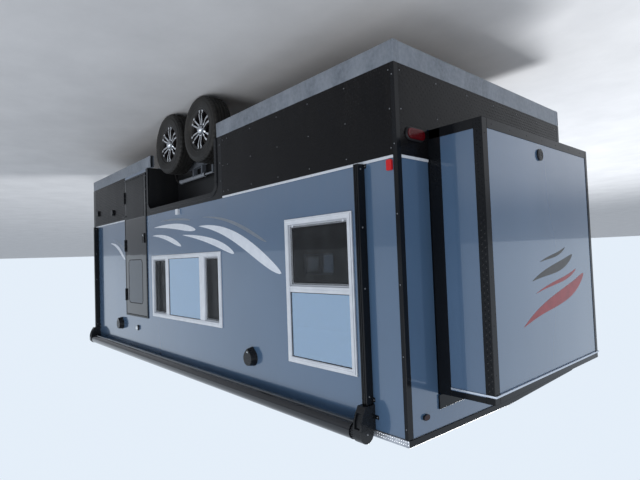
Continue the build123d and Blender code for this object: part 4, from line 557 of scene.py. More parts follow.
white_sweeps = (
    (((-2.86, 1.93), (-2.48, 1.76), (-2.12, 1.48), (-1.42, 1.43)), 0.120),
    (((-2.12, 1.74), (-1.92, 1.66), (-1.62, 1.56), (-1.02, 1.50)), 0.070),
    (((-1.34, 1.46), (-1.08, 1.42), (-0.80, 1.36), (-0.22, 1.36)), 0.070),
    (((-0.98, 1.62), (-0.78, 1.56), (-0.55, 1.47), (-0.16, 1.46)), 0.060),
    (((0.84, 1.74), (1.00, 1.65), (1.14, 1.50), (1.48, 1.48)), 0.060),
)
grey_sweeps = (
    (((-2.66, 1.66), (-2.40, 1.56), (-2.10, 1.38), (-1.50, 1.34)), 0.036),
    (((-1.22, 1.345), (-1.00, 1.315), (-0.80, 1.295), (-0.42, 1.295)), 0.022),
    (((0.84, 1.60), (0.98, 1.55), (1.12, 1.45), (1.34, 1.43)), 0.030),
)
lay_sweeps("side_sweeps_white", white_sweeps, on_right_wall, white_film)
lay_sweeps("side_sweeps_grey", grey_sweeps, on_right_wall, grey_film)

# Roof: one pale membrane over a low ridge, rolled down behind an edge of bright tread plate
# along the sides and a dark edge across the back. The ceiling is boarded like the walls.
membrane = uneven(
    "pale_roof_membrane", (0.62, 0.62, 0.60), 0.6, (4.0, 4.0, 0.5, (0.6, 1.6, 1.0)),
    ((0.50, 0.51, 0.51), (0.58, 0.59, 0.59)), bump=(0.003, 0.5), span=(0.35, 0.7),
)
dress_by_face("roof", (membrane, pine_boards), lambda spot, normal: normal.z < -0.5)
bright_plate = uneven(
    "bright_tread_plate", (0.36, 0.38, 0.42), 0.26, (14.0, 4.0, 0.6),
    ((0.28, 0.30, 0.34), (0.44, 0.46, 0.50)), (0.20, 0.38), metallic=0.85,
)
worn_tops = uneven(
    "bright_worn_lozenges", (0.80, 0.82, 0.86), 0.16, (40.0,), gloss=(0.10, 0.26), metallic=0.9
)
black_trim, tree, shader = finish("satin_black_trim", (0.004, 0.005, 0.007), 0.16, specular=0.20)
rub = clouds(tree, 6.0, 5.0, 0.65, (3.0, 3.0, 0.7))
film_over(shader, 1.5, 0.08, 0.13, rougher=spread(tree, rub, 0.4, 0.75, 0.0, 0.12))
relief(shader, rub, 0.0009, 0.3)
back_edge, edge_underside = -4.10, 2.975
dress_by_face(
    "roof_edge",
    (bright_plate, black_trim),
    lambda spot, normal: spot.x < back_edge or spot.z < edge_underside,
)
ease_edges(0.004, "roof_edge")


def lozenges(part, origin, along, outward, spans, pitch, size):
    """Raised lozenges in a leaning chequer over the flat face of a CAD node that a plane meets.

    The plane has an origin, the direction along it and the way out; spans are the first and last
    places along and up it, and size is a lozenge's length, width and height.
    """
    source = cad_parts[part].data
    part_skin = BVHTree.FromPolygons(
        [vertex.co for vertex in source.vertices], [tuple(face.vertices) for face in source.polygons]
    )
    origin, along, outward = Vector(origin), Vector(along).normalized(), Vector(outward).normalized()
    upward = Vector((0.0, 0.0, 1.0))
    (first, last), (low, high) = spans
    length, width, height = size
    stand_off, sunk, ridge = 0.05, 0.0002, 0.28
    points, faces = [], []
    for row in range(int((high - low) / pitch)):
        for column in range(int((last - first) / pitch)):
            lean = 1.0 if (row + column) % 2 else -1.0
            centre = origin + (first + (column + 0.5) * pitch) * along
            centre += (low + (row + 0.5) * pitch) * upward
            long_way = (along + lean * upward).normalized()
            wide_way = (along - lean * upward).normalized()
            tips = [centre + share * length * long_way for share in (-0.5, 0.5)]
            seen = [
                part_skin.ray_cast(tip + stand_off * outward, -outward, 2 * stand_off)[3]
                for tip in tips
            ]
            if None in seen or max(abs(found - stand_off) for found in seen) > sunk:
                continue
            base = len(points)
            sides = [centre + share * width * wide_way for share in (-0.5, 0.5)]
            points += [spot - sunk * outward for spot in (tips[0], sides[0], tips[1], sides[1])]
            points += [centre + share * length * long_way + height * outward for share in (-ridge, ridge)]
            for face in ((0, 1, 5, 4), (1, 2, 5), (2, 3, 4, 5), (3, 0, 4)):
                faces.append(tuple(base + corner for corner in face))
    return points, faces


def lozenges_on_sides(part, low, high, *rest):
    """The same lozenges on a CAD node's two faces across the hut."""
    return [lozenges(part, (0, side, 0), (1, 0, 0), (0, side, 0), *rest) for side in (low.y, high.y)]


edge_low, edge_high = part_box("roof_edge")
wall_low, wall_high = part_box("roof")
station_zero, left_face, wall_length = wall_low.x, wall_high.y, 6.406
edge_span = ((edge_low.x, station_zero + wall_length), (edge_low.z, edge_high.z))
edge_rows = lozenges_on_sides("roof_edge", edge_low, edge_high, edge_span, 0.018, (0.017, 0.006, 0.0011))
make_piece("roof_edge_lozenges", edge_rows, worn_tops)

# Lower cladding and trims: black tread plate up to the belt, a white rail along the belt,
# black angles on the corners, and folded black rings round the wheel openings. Pan-head
# screws hold them, one row to each stud.
black_plate, tree, shader = finish("black_tread_plate", (0.004, 0.004, 0.005), 0.26, specular=0.15)
film_over(shader, 1.25, 0.07, 0.24)
relief(shader, put(tree, sheet_waver, Stud_Share=0.6)["Height"], 0.0018, 0.6)
dress(black_plate, "lower_panels")
panel_low, panel_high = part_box("lower_panels")
side_end_x, nose_half = 2.286, 0.9
plate = (0.025, (0.023, 0.0085, 0.0013))
up_span = (panel_low.z, panel_high.z)
side_spans = ((panel_low.x, side_end_x), up_span)
panel_lozenges = lozenges_on_sides("lower_panels", panel_low, panel_high, side_spans, *plate)
back_spans = ((panel_low.y, panel_high.y), up_span)
panel_lozenges.append(
    lozenges("lower_panels", (panel_low.x, 0, 0), (0, 1, 0), (-1, 0, 0), back_spans, *plate)
)
for side in (-1.0, 1.0):
    nose_skin = [
        face
        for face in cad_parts["lower_panels"].data.polygons
        if face.normal.x > 0.3 and side * face.normal.y > 0.3
    ]
    nose_face = max(nose_skin, key=lambda face: face.area)
    nose_start, nose_out = nose_face.center.copy(), nose_face.normal.copy()
    nose_start.z = 0.0
    nose_along = (-nose_out.y, nose_out.x, 0.0)
    nose_spans = ((-nose_half, nose_half), up_span)
    panel_lozenges.append(lozenges("lower_panels", nose_start, nose_along, nose_out, nose_spans, *plate))
make_piece("lower_panel_lozenges", panel_lozenges, black_plate)

# Painted shade: the rail's white is dimmer and bluer than white, as under an open sky.
white_rail_painted_shade = uneven(
    "white_belt_rail_painted_blue_shade", (0.56, 0.60, 0.66), 0.28, film=(1.6, 0.25, 0.26), coat=0.3, coat_roughness=0.1
)
dress(white_rail_painted_shade, "belt_trims")
dress(black_trim, "corner_trims", "well_trims")
ease_edges(0.004, "corner_trims", "well_trims", "belt_trims")


def screw_heads(spots, outward, radius=0.0048, height=0.0026):
    """Pan-head screws at spots, all facing outward."""
    profile = (
        (radius, -0.0006),
        (radius, 0.35 * height),
        (0.84 * radius, 0.74 * height),
        (0.50 * radius, height),
        (0.22 * radius, height),
        (0.16 * radius, 0.45 * height),
    )
    return [turned(profile, facing(spot, outward), 10) for spot in spots]


dull_zinc = uneven(
    "dull_zinc_screws", (0.20, 0.21, 0.23), 0.42, (500.0, 2.0),
    ((0.10, 0.105, 0.115), (0.24, 0.25, 0.27)), metallic=0.6,
)
screw_inset, edge_inset, back_inset, clear_of = 0.022, 0.045, 0.06, 0.01
trim_inset, trim_foot, trim_pitch = 0.018, 0.08, 0.45
screw_heights = (panel_low.z + edge_inset, (panel_low.z + panel_high.z) / 2, panel_high.z - edge_inset)
well_low, well_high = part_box("well_trims")
door_low, door_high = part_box("door_frame")
trim_low, trim_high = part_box("corner_trims")
trim_column = trim_low.x + trim_inset
trim_heights = [trim_low.z + trim_foot + trim_pitch * step for step in range(6)]
panel_screws = []
for side in (panel_low.y, panel_high.y):
    columns = [panel_low.x + edge_inset]
    while columns[-1] + stud_pitch < side_end_x - screw_inset:
        columns.append(columns[-1] + stud_pitch)
    columns += [well_low.x - screw_inset, (door_high.x if side < 0 else well_high.x) + screw_inset]
    for column in columns:
        beside_well = well_low.x - clear_of < column < well_high.x + clear_of
        in_door = side < 0 and door_low.x - clear_of < column < door_high.x + clear_of
        if not beside_well and not in_door:
            spots = [(column, side, height) for height in screw_heights]
            panel_screws += screw_heads(spots, (0, side, 0))
back_columns = [panel_low.y + back_inset + step * stud_pitch for step in range(7)]
back_screws = [(panel_low.x, column, height) for column in back_columns for height in screw_heights[:2]]
panel_screws += screw_heads(back_screws, (-1, 0, 0))
for side in (trim_low.y, trim_high.y):
    panel_screws += screw_heads([(trim_column, side, height) for height in trim_heights], (0, side, 0))
make_piece("panel_and_trim_screws", panel_screws, dull_zinc, smooth_to=50.0)
well_inset, well_leg_heights = 0.018, (0.66, 0.84, 1.02)
well_columns = (well_low.x + well_inset, well_high.x - well_inset)
well_screws = []
for side in (well_low.y, well_high.y):
    spots = [(column, side, height) for column in well_columns for height in well_leg_heights]
    well_screws += screw_heads(spots, (0, side, 0))
make_piece("well_trim_screws", well_screws, dull_zinc, smooth_to=50.0)

# Windows: welded white vinyl frames with a stepped face, lapped over the wall, their white
# painted dimmer and bluer as painted shade under an open sky. The sliding lights have slim
# sashes behind an insect screen, the fixed ones reflect more of the sky, their sky blue a
# painted reflection.
# Painted shade: the vinyl's white is dimmer and bluer than white, as under an open sky.
white_vinyl_painted_shade = uneven(
    "white_window_vinyl_painted_blue_shade", (0.60, 0.64, 0.70), 0.30, (9.0, 4.0, 0.6),
    ((0.56, 0.60, 0.66), (0.65, 0.69, 0.75)), bump=(0.0006, 0.3), span=(0.35, 0.7),
    coat=0.2, coat_roughness=0.15,
)


def mitred_ring(opening, face, profile):
    """A frame round an opening in a face, its profile of inset and proud mitred at the corners."""
    rear, front, low, high = opening
    wall, outward = face
    rings = []
    for inset, proud in profile:
        left, right, bottom, top = rear + inset, front - inset, low + inset, high - inset
        corners = ((left, bottom), (right, bottom), (right, top), (left, top))
        rings.append([Vector((x, wall + outward * proud, z)) for x, z in corners])
    return skin(rings, closed=True)


def inside(opening, edge):
    """An opening drawn in by an edge all round."""
    rear, front, low, high = opening
    return rear + edge, front - edge, low + edge, high - edge


def bar_between(opening, face, profile, upright):
    """A bar whose profile of share across and proud runs the length of its rectangle."""
    rear, front, low, high = opening
    wall, outward = face
    rings = []
    for end in (0.0, 1.0):
        ring = []
        for share, proud in profile:
            across, along = (share, end) if upright else (end, share)
            x, z = rear + across * (front - rear), low + along * (high - low)
            ring.append(Vector((x, wall + outward * proud, z)))
        rings.append(ring)
    return skin(rings)


on_right, on_left = (right_face, -1.0), (left_face, 1.0)
edge_face = 0.046
hung = (station_zero + 0.415, station_zero + 1.187, 1.493, 2.642)
slider = (station_zero + 2.248, station_zero + 3.972, 1.713, 2.470)
small = (station_zero + 3.300, station_zero + 4.035, 1.726, 2.096)
hung_rear, hung_front, hung_sill, hung_head = inside(hung, edge_face)
slider_rear, slider_front, slider_sill, slider_head = inside(slider, edge_face)
small_rear, small_front, small_sill, small_head = inside(small, edge_face)
rail_low, rail_high = hung[2] + 0.539, hung[2] + 0.587
bar_starts = ((0.347, 0.111), (1.238, 0.085))
bar_spots = [(slider[0] + start, slider[0] + start + width) for start, width in bar_starts]
small_bar = (small[0] + 0.300, small[0] + 0.383, small_sill, small_head)
frame_profile = millimetres(
    (0, 0), (0, 9.5), (3, 12.5), (12.5, 12.5), (14, 18), (27, 18), (30, 15), (31, 15), (32, 16.5),
    (40, 16.5), (43, 13), (46, 12), (46, -22), (21, -22), (21, 0)
)
bar_profile = (
    (0.00, -0.0220), (0.00, 0.0070), (0.05, 0.0095), (0.40, 0.0095), (0.43, 0.0060), (0.47, 0.0060),
    (0.50, 0.0085), (0.95, 0.0085), (1.00, 0.0065), (1.00, -0.0220),
)
window_vinyl = [
    mitred_ring(hung, on_right, frame_profile),
    mitred_ring(slider, on_right, frame_profile),
    mitred_ring(small, on_left, frame_profile),
    bar_between((hung_rear, hung_front, rail_low, rail_high), on_right, bar_profile, False),
    bar_between(small_bar, on_left, bar_profile, True),
]
for bar_rear, bar_front in bar_spots:
    slider_bar = (bar_rear, bar_front, slider_sill, slider_head)
    window_vinyl.append(bar_between(slider_bar, on_right, bar_profile, True))
vinyl_frames = make_piece("vinyl_window_frames", window_vinyl, white_vinyl_painted_shade)
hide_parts("window_frames")

moving_lights = (
    ((hung_rear, hung_front, hung_sill, rail_low), on_right),
    ((small_bar[1], small_front, small_sill, small_head), on_left),
    ((slider_rear, bar_spots[0][0], slider_sill, slider_head), on_right),
    ((bar_spots[1][1], slider_front, slider_sill, slider_head), on_right),
)
fixed_lights = (
    ((hung_rear, hung_front, rail_high, hung_head), on_right),
    ((bar_spots[0][1], bar_spots[1][0], slider_sill, slider_head), on_right),
    ((small_rear, small_bar[0], small_sill, small_head), on_left),
)
sash_profile = millimetres(
    (0.3, -19.5), (0.3, -8), (2, -6.2), (17, -6.2), (19, -9), (23.5, -9), (26, -11.5), (26, -19.5)
)
sash_rings = [mitred_ring(light, face, sash_profile) for light, face in moving_lights]
vinyl_sashes = make_piece("vinyl_sashes", sash_rings, white_vinyl_painted_shade)
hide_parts("window_sashes")

gasket_rubber = uneven(
    "black_gasket_rubber", (0.008, 0.008, 0.010), 0.5, (500.0, 2.0), bump=(0.0003, 0.5), specular=0.3
)
fixed_gasket = millimetres((0, 0), (0, 3), (3, 3), (5.5, 0.4), (5.5, 0))
sash_gasket = millimetres((26, -14.5), (26, -11.2), (28.5, -11.8), (31, -13.8), (31, -14.5))
gaskets = [mitred_ring(light, face, fixed_gasket) for light, face in fixed_lights]
gaskets += [mitred_ring(light, face, sash_gasket) for light, face in moving_lights]
make_piece("glazing_gaskets", gaskets, gasket_rubber)

screen_metal = uneven(
    "pale_screen_frame", (0.42, 0.45, 0.50), 0.4, (300.0, 2.0), bump=(0.0003, 0.4), metallic=0.1
)
screen_wire = uneven(
    "black_screen_wire", (0.012, 0.013, 0.015), 0.6, (900.0, 1.0), bump=(0.0002, 0.5), specular=0.25
)
screen_frame_profile = millimetres(
    (1, -5.5), (1, -1.6), (2.2, -0.6), (10, -0.6), (12.5, -2.2), (12.5, -5.5)
)
wire_pitch, wire_width, wire_depth, wire_set, wire_inset = 0.0018, 0.00036, 0.0002, 0.0040, 0.012
screen_frames, wires = [], []
for light, face in moving_lights:
    screen_frames.append(mitred_ring(light, face, screen_frame_profile))
    rear, front, low, high = inside(light, wire_inset)
    wire_y = face[0] - face[1] * wire_set
    for number in range(1, int((front - rear) / wire_pitch)):
        x = rear + number * wire_pitch
        wires.append(block((x, wire_y, low), (x + wire_width, wire_y + wire_depth, high)))
    for number in range(1, int((high - low) / wire_pitch)):
        z = low + number * wire_pitch
        wires.append(block((rear, wire_y - wire_depth, z), (front, wire_y, z + wire_width)))
make_piece("screen_frames", screen_frames, screen_metal)
make_piece("insect_screens", wires, screen_wire)
tab_size, tab_inset, tab_foot, tab_proud, tab_sunk = 0.018, 0.040, 0.003, 0.0025, 0.001
tab_low = hung_sill + tab_foot
screen_tabs = [
    block((x, right_face - tab_proud, tab_low), (x + tab_size, right_face + tab_sunk, tab_low + tab_size))
    for x in (hung_rear + tab_inset, hung_front - tab_inset - tab_size)
]
make_piece("screen_pull_tabs", screen_tabs, white_vinyl_painted_shade, eased=0.001)


def window_glass(name, colour, metallic, transmission):
    """Tinted glass that mirrors as much as its coating does, with a slow wave in it."""
    glass = uneven(name, colour, 0.015, (3.0, 1.0), bump=(0.0015, 0.2), metallic=metallic)
    shader = glass.node_tree.nodes["Principled BSDF"]
    shader.inputs["Transmission Weight"].default_value = transmission
    shader.inputs["IOR"].default_value = 1.5
    return glass


# Painted reflection: the fixed panes' sky blue stands in for the sky they reflect, over a part mirror.
painted_sky_glass = window_glass("part_mirror_glass_painted_sky_blue", (0.48, 0.63, 0.80), 0.50, 0.9)
tinted_glass = window_glass("tinted_window_glass", (0.30, 0.33, 0.36), 0.0, 0.95)
fixed_glass_out = 0.010
dress_by_face(
    "window_panes",
    (tinted_glass, painted_sky_glass),
    lambda spot, normal: min(abs(spot.y - right_face), abs(spot.y - left_face)) < fixed_glass_out,
)

# Entry door: a leaf skinned in gloss black with a rounded mirror window and a ribbed kick
# plate, in a black frame, hung on three black strap hinges. A rubber seal runs round it.
door_black = uneven(
    "black_door_moulding", (0.007, 0.008, 0.010), 0.30, (30.0, 4.0, 0.6),
    gloss=(0.22, 0.40), bump=(0.0005, 0.4), span=(0.4, 0.7), specular=0.28,
)
gloss_black, tree, shader = finish(
    "gloss_black_door_skin", (0.006, 0.007, 0.009), 0.06, 0.0, 0.50, 0.02, 0.30
)
film_over(shader, 1.6, 0.10, 0.05)
relief(shader, put(tree, sheet_waver, Stud_Pitch=0.30)["Height"], 0.0010, 0.4)
dress(door_black, "door_frame", "door_hinges", "door_hinge_leaves", "door_handle", "door_catch")
leaf_low, leaf_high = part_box("door_leaf")
kick_top, kick_face, face_slack = 1.19, leaf_low.y, 0.001
dress_by_face(
    "door_leaf",
    (gloss_black, black_plate),
    lambda spot, normal: normal.y < -0.5 and spot.z < kick_top and spot.y < kick_face + face_slack,
)
ease_edges(0.0025, "door_leaf", "door_handle")
ease_edges(0.0012, "door_frame", "door_hinge_leaves", "door_hinges", "door_catch")
rib_pitch, rib_height, rib_proud, rib_margin, first_rib = 0.022, 0.006, 0.0009, 0.045, 0.02
rib_profile = ((0.0, 0.0), (0.2, 0.8 * rib_proud), (0.5, rib_proud), (0.8, 0.8 * rib_proud), (1.0, 0.0))
ribs = []
for number in range(1, int((kick_top - leaf_low.z) / rib_pitch) - 1):
    rib_z = leaf_low.z + first_rib + number * rib_pitch
    rib = (leaf_low.x + rib_margin, leaf_high.x - rib_margin, rib_z, rib_z + rib_height)
    ribs.append(bar_between(rib, (kick_face, -1.0), rib_profile, False))
make_piece("door_kick_ribs", ribs, black_plate, body="door", smooth_to=60.0)
dress(window_glass("dark_door_glass", (0.09, 0.11, 0.14), 0.25, 0.8), "door_pane")
pane_low, pane_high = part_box("door_pane")
pane_round, seal_proud, arc_steps = 0.060, 0.0022, 10
seal_profile = ((-0.002, 0.0), (-0.001, seal_proud), (0.008, seal_proud), (0.010, 0.0))
seal_rings = []
for corner, (x, z) in enumerate((
    (pane_high.x - pane_round, pane_high.z - pane_round),
    (pane_low.x + pane_round, pane_high.z - pane_round),
    (pane_low.x + pane_round, pane_low.z + pane_round),
    (pane_high.x - pane_round, pane_low.z + pane_round),
)):
    for step in range(arc_steps + 1):
        angle = math.pi / 2 * (corner + step / arc_steps)
        ring = []
        for inset, proud in seal_profile:
            reach = pane_round - inset
            spot = (x + reach * math.cos(angle), pane_low.y - proud, z + reach * math.sin(angle))
            ring.append(Vector(spot))
        seal_rings.append(ring)
seal = skin(seal_rings, closed=True)
make_piece("door_window_seal", [seal], gasket_rubber, body="door", smooth_to=60.0)
handle_low, handle_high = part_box("door_handle")
lock_up, paddle_edge, paddle_low = 0.028, 0.010, 0.046
lock_spot = ((handle_low.x + handle_high.x) / 2, handle_low.y, handle_low.z + lock_up)
lock_profile = millimetres((11, -1), (11, 1.6), (10, 2.6), (6.2, 2.6), (5.8, 1.4))
lock = turned(lock_profile, facing(lock_spot, (0, -1, 0)), 32)
make_piece("door_lock_barrel", [lock], steel_fitting, body="door", smooth_to=40.0)
paddle = mitred_ring(
    (
        handle_low.x + paddle_edge,
        handle_high.x - paddle_edge,
        handle_low.z + paddle_low,
        handle_high.z - paddle_edge,
    ),
    (handle_low.y, -1.0),
    ((0.0, -0.0004), (0.0005, 0.0016), (0.0035, 0.0016), (0.0045, -0.0004)),
)
make_piece("door_handle_paddle_rim", [paddle], door_black, body="door")
hinge_low, hinge_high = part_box("door_hinges")
hinge_height, hinge_end, hinge_thick, hinge_inset = 0.165, 0.025, 0.003, 0.0085
hinge_screw_x, hinge_screw_y = hinge_high.x - hinge_inset, door_low.y - hinge_thick
hinge_shares = (0.135, 0.4895, 0.8493)
hinge_run = (hinge_high.z - hinge_low.z - hinge_height) / (hinge_shares[2] - hinge_shares[0])
hinge_spots = [
    (hinge_screw_x, hinge_screw_y, hinge_low.z + hinge_run * (share - hinge_shares[0]) + rise)
    for share in hinge_shares
    for rise in (hinge_end, hinge_height / 2, hinge_height - hinge_end)
]
hinge_screws = screw_heads(hinge_spots, (0, -1, 0), 0.0038, 0.0016)
make_piece("hinge_screws", hinge_screws, door_black, smooth_to=50.0)

# Slide-out room: a sheet-clad box edged with black angles, under a bright drip rail. The
# corners' side legs are embossed tread plate, and the room rolls on plastic blocks.
dress(wall_paint_with_painted_sky_blue, "slide_face", "slide_sides")
dress_by_face("slide_decks", (wall_paint_with_painted_sky_blue, black_trim), lambda spot, normal: abs(normal.y) > 0.5)
dress(black_trim, "slide_trims", "slide_header")
bright_rail = uneven(
    "bright_drip_rail", (0.55, 0.60, 0.68), 0.25, (12.0, 3.0, 0.5, (2.0, 2.0, 8.0)),
    gloss=(0.18, 0.34), metallic=0.7,
)
dress(bright_rail, "slide_drip")
dress(uneven("runner_block", (0.30, 0.30, 0.29), 0.45, (50.0,), gloss=(0.35, 0.6)), "slide_runners")
ease_edges(0.003, "slide_trims", "slide_header")
slide_low, slide_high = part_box("slide_trims")
side_low, side_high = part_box("slide_sides")
leg_edge, leg_width, leg_foot, leg_head = 0.006, 0.058, 0.01, 0.06
leg_last = slide_low.x + leg_width
leg_span = ((slide_low.x + leg_edge, leg_last), (slide_low.z + leg_foot, slide_high.z - leg_head))
leg_pitch, leg_size = 0.0215, (0.0205, 0.0080, 0.0018)
leg_plates = lozenges_on_sides("slide_trims", slide_low, slide_high, leg_span, leg_pitch, leg_size)
make_piece("slide_corner_lozenges", leg_plates, black_trim, body="slide_room")
angle_rear, angle_front = leg_last + 0.003, station_zero - 0.012
angle_top, angle_lap = slide_low.z + 0.064, 0.0005
sill_angles = [
    block((angle_rear, first, slide_low.z), (angle_front, last, angle_top))
    for first, last in ((slide_low.y, side_low.y + angle_lap), (side_high.y - angle_lap, slide_high.y))
]
make_piece("slide_sill_angles", sill_angles, black_trim, body="slide_room", eased=0.001)
leg_screw_foot, leg_screw_pitch, sill_first, sill_pitch, sill_up = 0.10, 0.30, 0.12, 0.25, 0.032
slide_spots = [
    (slide_low.x, y, slide_low.z + leg_screw_foot + leg_screw_pitch * step)
    for y in (slide_low.y + 0.030, slide_high.y - 0.023)
    for step in range(6)
]
slide_spots += [
    (slide_low.x, slide_low.y + sill_first + sill_pitch * step, slide_low.z + sill_up)
    for step in range(7)
]
slide_screws = screw_heads(slide_spots, (-1, 0, 0), 0.0040, 0.0018)
make_piece("slide_trim_screws", slide_screws, black_trim, body="slide_room", smooth_to=50.0)
rear_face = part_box("slide_face")[0].x


def on_slide_face(along, up, proud):
    """A point on the slide-out room's rear face, standing out by proud."""
    return Vector((rear_face - proud, along, up))


red_film = uneven(
    "red_cut_vinyl", (0.26, 0.016, 0.024), 0.28, film_grain, ((0.22, 0.012, 0.020), (0.30, 0.022, 0.030)),
    span=film_span, coat=0.2, coat_roughness=0.06, specular=0.3,
)
bronze_film = uneven(
    "dark_bronze_cut_vinyl", (0.030, 0.026, 0.024), 0.30, film_grain,
    ((0.024, 0.021, 0.019), (0.040, 0.036, 0.033)),
    span=film_span, metallic=0.2, coat=0.2, coat_roughness=0.08, specular=0.3,
)
red_sweeps = (
    (((0.66, 2.02), (0.36, 2.20), (-0.05, 2.17), (-0.46, 2.33)), 0.105),
    (((0.50, 1.975), (0.30, 2.06), (0.05, 2.05), (-0.25, 2.12)), 0.030),
)
bronze_sweeps = (
    (((0.44, 1.86), (0.20, 1.97), (-0.02, 1.95), (-0.30, 2.03)), 0.070),
    (((0.30, 1.80), (0.14, 1.87), (0.00, 1.86), (-0.16, 1.90)), 0.026),
)
lay_sweeps("slide_sweeps_red", red_sweeps, on_slide_face, red_film, "slide_room")
lay_sweeps("slide_sweeps_bronze", bronze_sweeps, on_slide_face, bronze_film, "slide_room")

# Awning: grooved black arms screwed to the wall with moulded heads, and between them the
# cloth rolled up under its smooth black cover, with a notched collar at each end.
cover_black = uneven(
    "satin_awning_cover", (0.006, 0.007, 0.010), 0.20, (7.0, 4.0, 0.6, (0.5, 3.0, 3.0)),
    ((0.005, 0.006, 0.009), (0.008, 0.009, 0.013)), (0.16, 0.27), coat=0.60, specular=0.25,
)
dress(black_trim, "awning_arms")
dress(cover_black, "awning_roll")
ease_edges(0.0022, "awning_arms")
arm_low, arm_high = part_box("awning_arms")
head_low, head_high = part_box("awning_heads")
roll_low, roll_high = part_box("awning_roll")
cap_radius, cap_seam, cap_lap, cap_proud = 0.062, 2.944, 0.002, 0.001
roll_y, roll_z = head_low.y + cap_radius, roll_high.z - 0.058
head_width, head_cheek, pocket_lap, dome_steps = 0.072, 0.012, 0.0005, 14
outer_curve = [(-1.3785, 2.930), (-1.3720, 2.890), (-1.3520, 2.842), (-1.3300, 2.806), (-1.3240, 2.798)]
pocket_curve = [
    (-1.3785, 2.936), (-1.3640, 2.931), (-1.3585, 2.890), (-1.3415, 2.850), (-1.3480, 2.836),
    (-1.3300, 2.806), (-1.3240, 2.798),
]


def side_slab(outline, rear, front):
    """An outline of Y and Z points, carried along X from rear to front."""
    return skin([[Vector((x, y, z)) for y, z in outline] for x in (rear, front)])


def dome(radius):
    """Points over the roll's end, from the wall side to the outer side."""
    angles = [math.pi * step / dome_steps for step in range(dome_steps + 1)]
    return [(roll_y + radius * math.cos(angle), roll_z + radius * math.sin(angle)) for angle in angles]


cap_outline = [(head_high.y, cap_seam), *dome(cap_radius), (head_low.y, cap_seam)]
body_top = [
    (head_high.y, head_low.z),
    (head_high.y, cap_seam - cap_proud),
    (head_high.y - cap_lap, cap_seam + cap_proud),
    *dome(cap_radius - cap_lap),
    (head_low.y + cap_lap, cap_seam + cap_proud),
    (head_low.y, cap_seam - cap_proud),
]
heads = []
for head_rear in (head_low.x, head_high.x - head_width):
    head_front = head_rear + head_width
    pocket_rear, pocket_front = head_rear + head_cheek, head_front - head_cheek
    heads += [
        side_slab(body_top + outer_curve, head_rear, pocket_rear),
        side_slab(body_top + outer_curve, pocket_front, head_front),
        side_slab(body_top + pocket_curve, pocket_rear - pocket_lap, pocket_front + pocket_lap),
        side_slab(cap_outline, head_rear - cap_proud, head_front + cap_proud),
    ]
moulded_heads = make_piece(
    "moulded_awning_heads", heads, door_black, smooth_to=28.0, eased=0.0016
)
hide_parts("awning_heads")
collar_radius, collar_teeth = 0.047, 20
collar_profile = (
    (collar_radius + 0.0005, 0.001),
    (collar_radius + 0.004, 0.002),
    (collar_radius + 0.004, 0.009),
    (collar_radius + 0.0005, 0.010),
)
tooth = block((collar_radius - 0.002, -0.0042, 0.012), (collar_radius + 0.0045, 0.0042, 0.038))
collars = []
for start, way in ((roll_low.x, 1.0), (roll_high.x, -1.0)):
    place = facing((start, roll_y, roll_z), (way, 0, 0))
    collars.append(turned(collar_profile, place, 48))
    for number in range(collar_teeth):
        turn = place @ Matrix.Rotation(math.tau * number / collar_teeth, 4, "Z")
        collars.append(([turn @ point for point in tooth[0]], tooth[1]))
make_piece("awning_collars", collars, door_black, smooth_to=40.0, eased=0.0008)
arm_width, bracket_reach, bracket_thick = 0.045, 0.016, 0.005
arm_rears = (arm_low.x + bracket_reach, arm_high.x - bracket_reach - arm_width)
arm_screw_heights, arm_screw_set = (1.225, 1.62, 2.03, 2.745), arm_high.y - 0.040
bracket_heights = (arm_low.z + 0.015, arm_high.z - 0.027)
tab_reach, tab_height, tab_thick, tab_hole, tab_sunk = 0.030, 0.026, 0.004, 0.018, 0.0005
tab_heights = (arm_high.z - 0.024, 2.868)
back_half, back_set, back_top = 0.033, 0.001, 2.958
wall_screw, arm_screw, head_screw = (0.0050, 0.0030), (0.0062, 0.0035), (0.0065, 0.0035)
head_tabs, head_backs, arm_screws = [], [], []
for rear, way in zip(arm_rears, (1.0, -1.0)):
    middle, arm_front = rear + arm_width / 2, rear + arm_width
    back_low = (middle - back_half, head_high.y - back_set, head_low.z + back_set)
    head_backs.append(block(back_low, (middle + back_half, right_face + back_set, back_top)))
    for reach_way, z in zip((way, -way), tab_heights):
        edge = middle + reach_way * head_width / 2
        tab_rear, tab_front = sorted((edge, edge + reach_way * tab_reach))
        tab_back = right_face + tab_sunk
        head_tabs.append(
            block((tab_rear, right_face - tab_thick, z), (tab_front, tab_back, z + tab_height))
        )
        hole = (edge + reach_way * tab_hole, right_face - tab_thick, z + tab_height / 2)
        arm_screws += screw_heads([hole], (0, -1, 0), *wall_screw)
    head_half = head_width / 2 + cap_proud
    arm_sides = ((rear, middle - head_half, (-1, 0, 0)), (arm_front, middle + head_half, (1, 0, 0)))
    for x, head_x, out in arm_sides:
        arm_screws += screw_heads([(x, arm_screw_set, z) for z in arm_screw_heights], out, *arm_screw)
        arm_screws += screw_heads([(head_x, roll_y, roll_z)], out, *head_screw)
        bracket_x = x + out[0] * bracket_reach / 2
        bracket_spots = [(bracket_x, right_face - bracket_thick, z) for z in bracket_heights]
        arm_screws += screw_heads(bracket_spots, (0, -1, 0), *wall_screw)
make_piece("awning_head_tabs", head_tabs, black_trim, eased=0.0012)
make_piece("awning_head_backs", head_backs, door_black, eased=0.0012)
make_piece("awning_screws", arm_screws, dull_zinc, smooth_to=50.0)

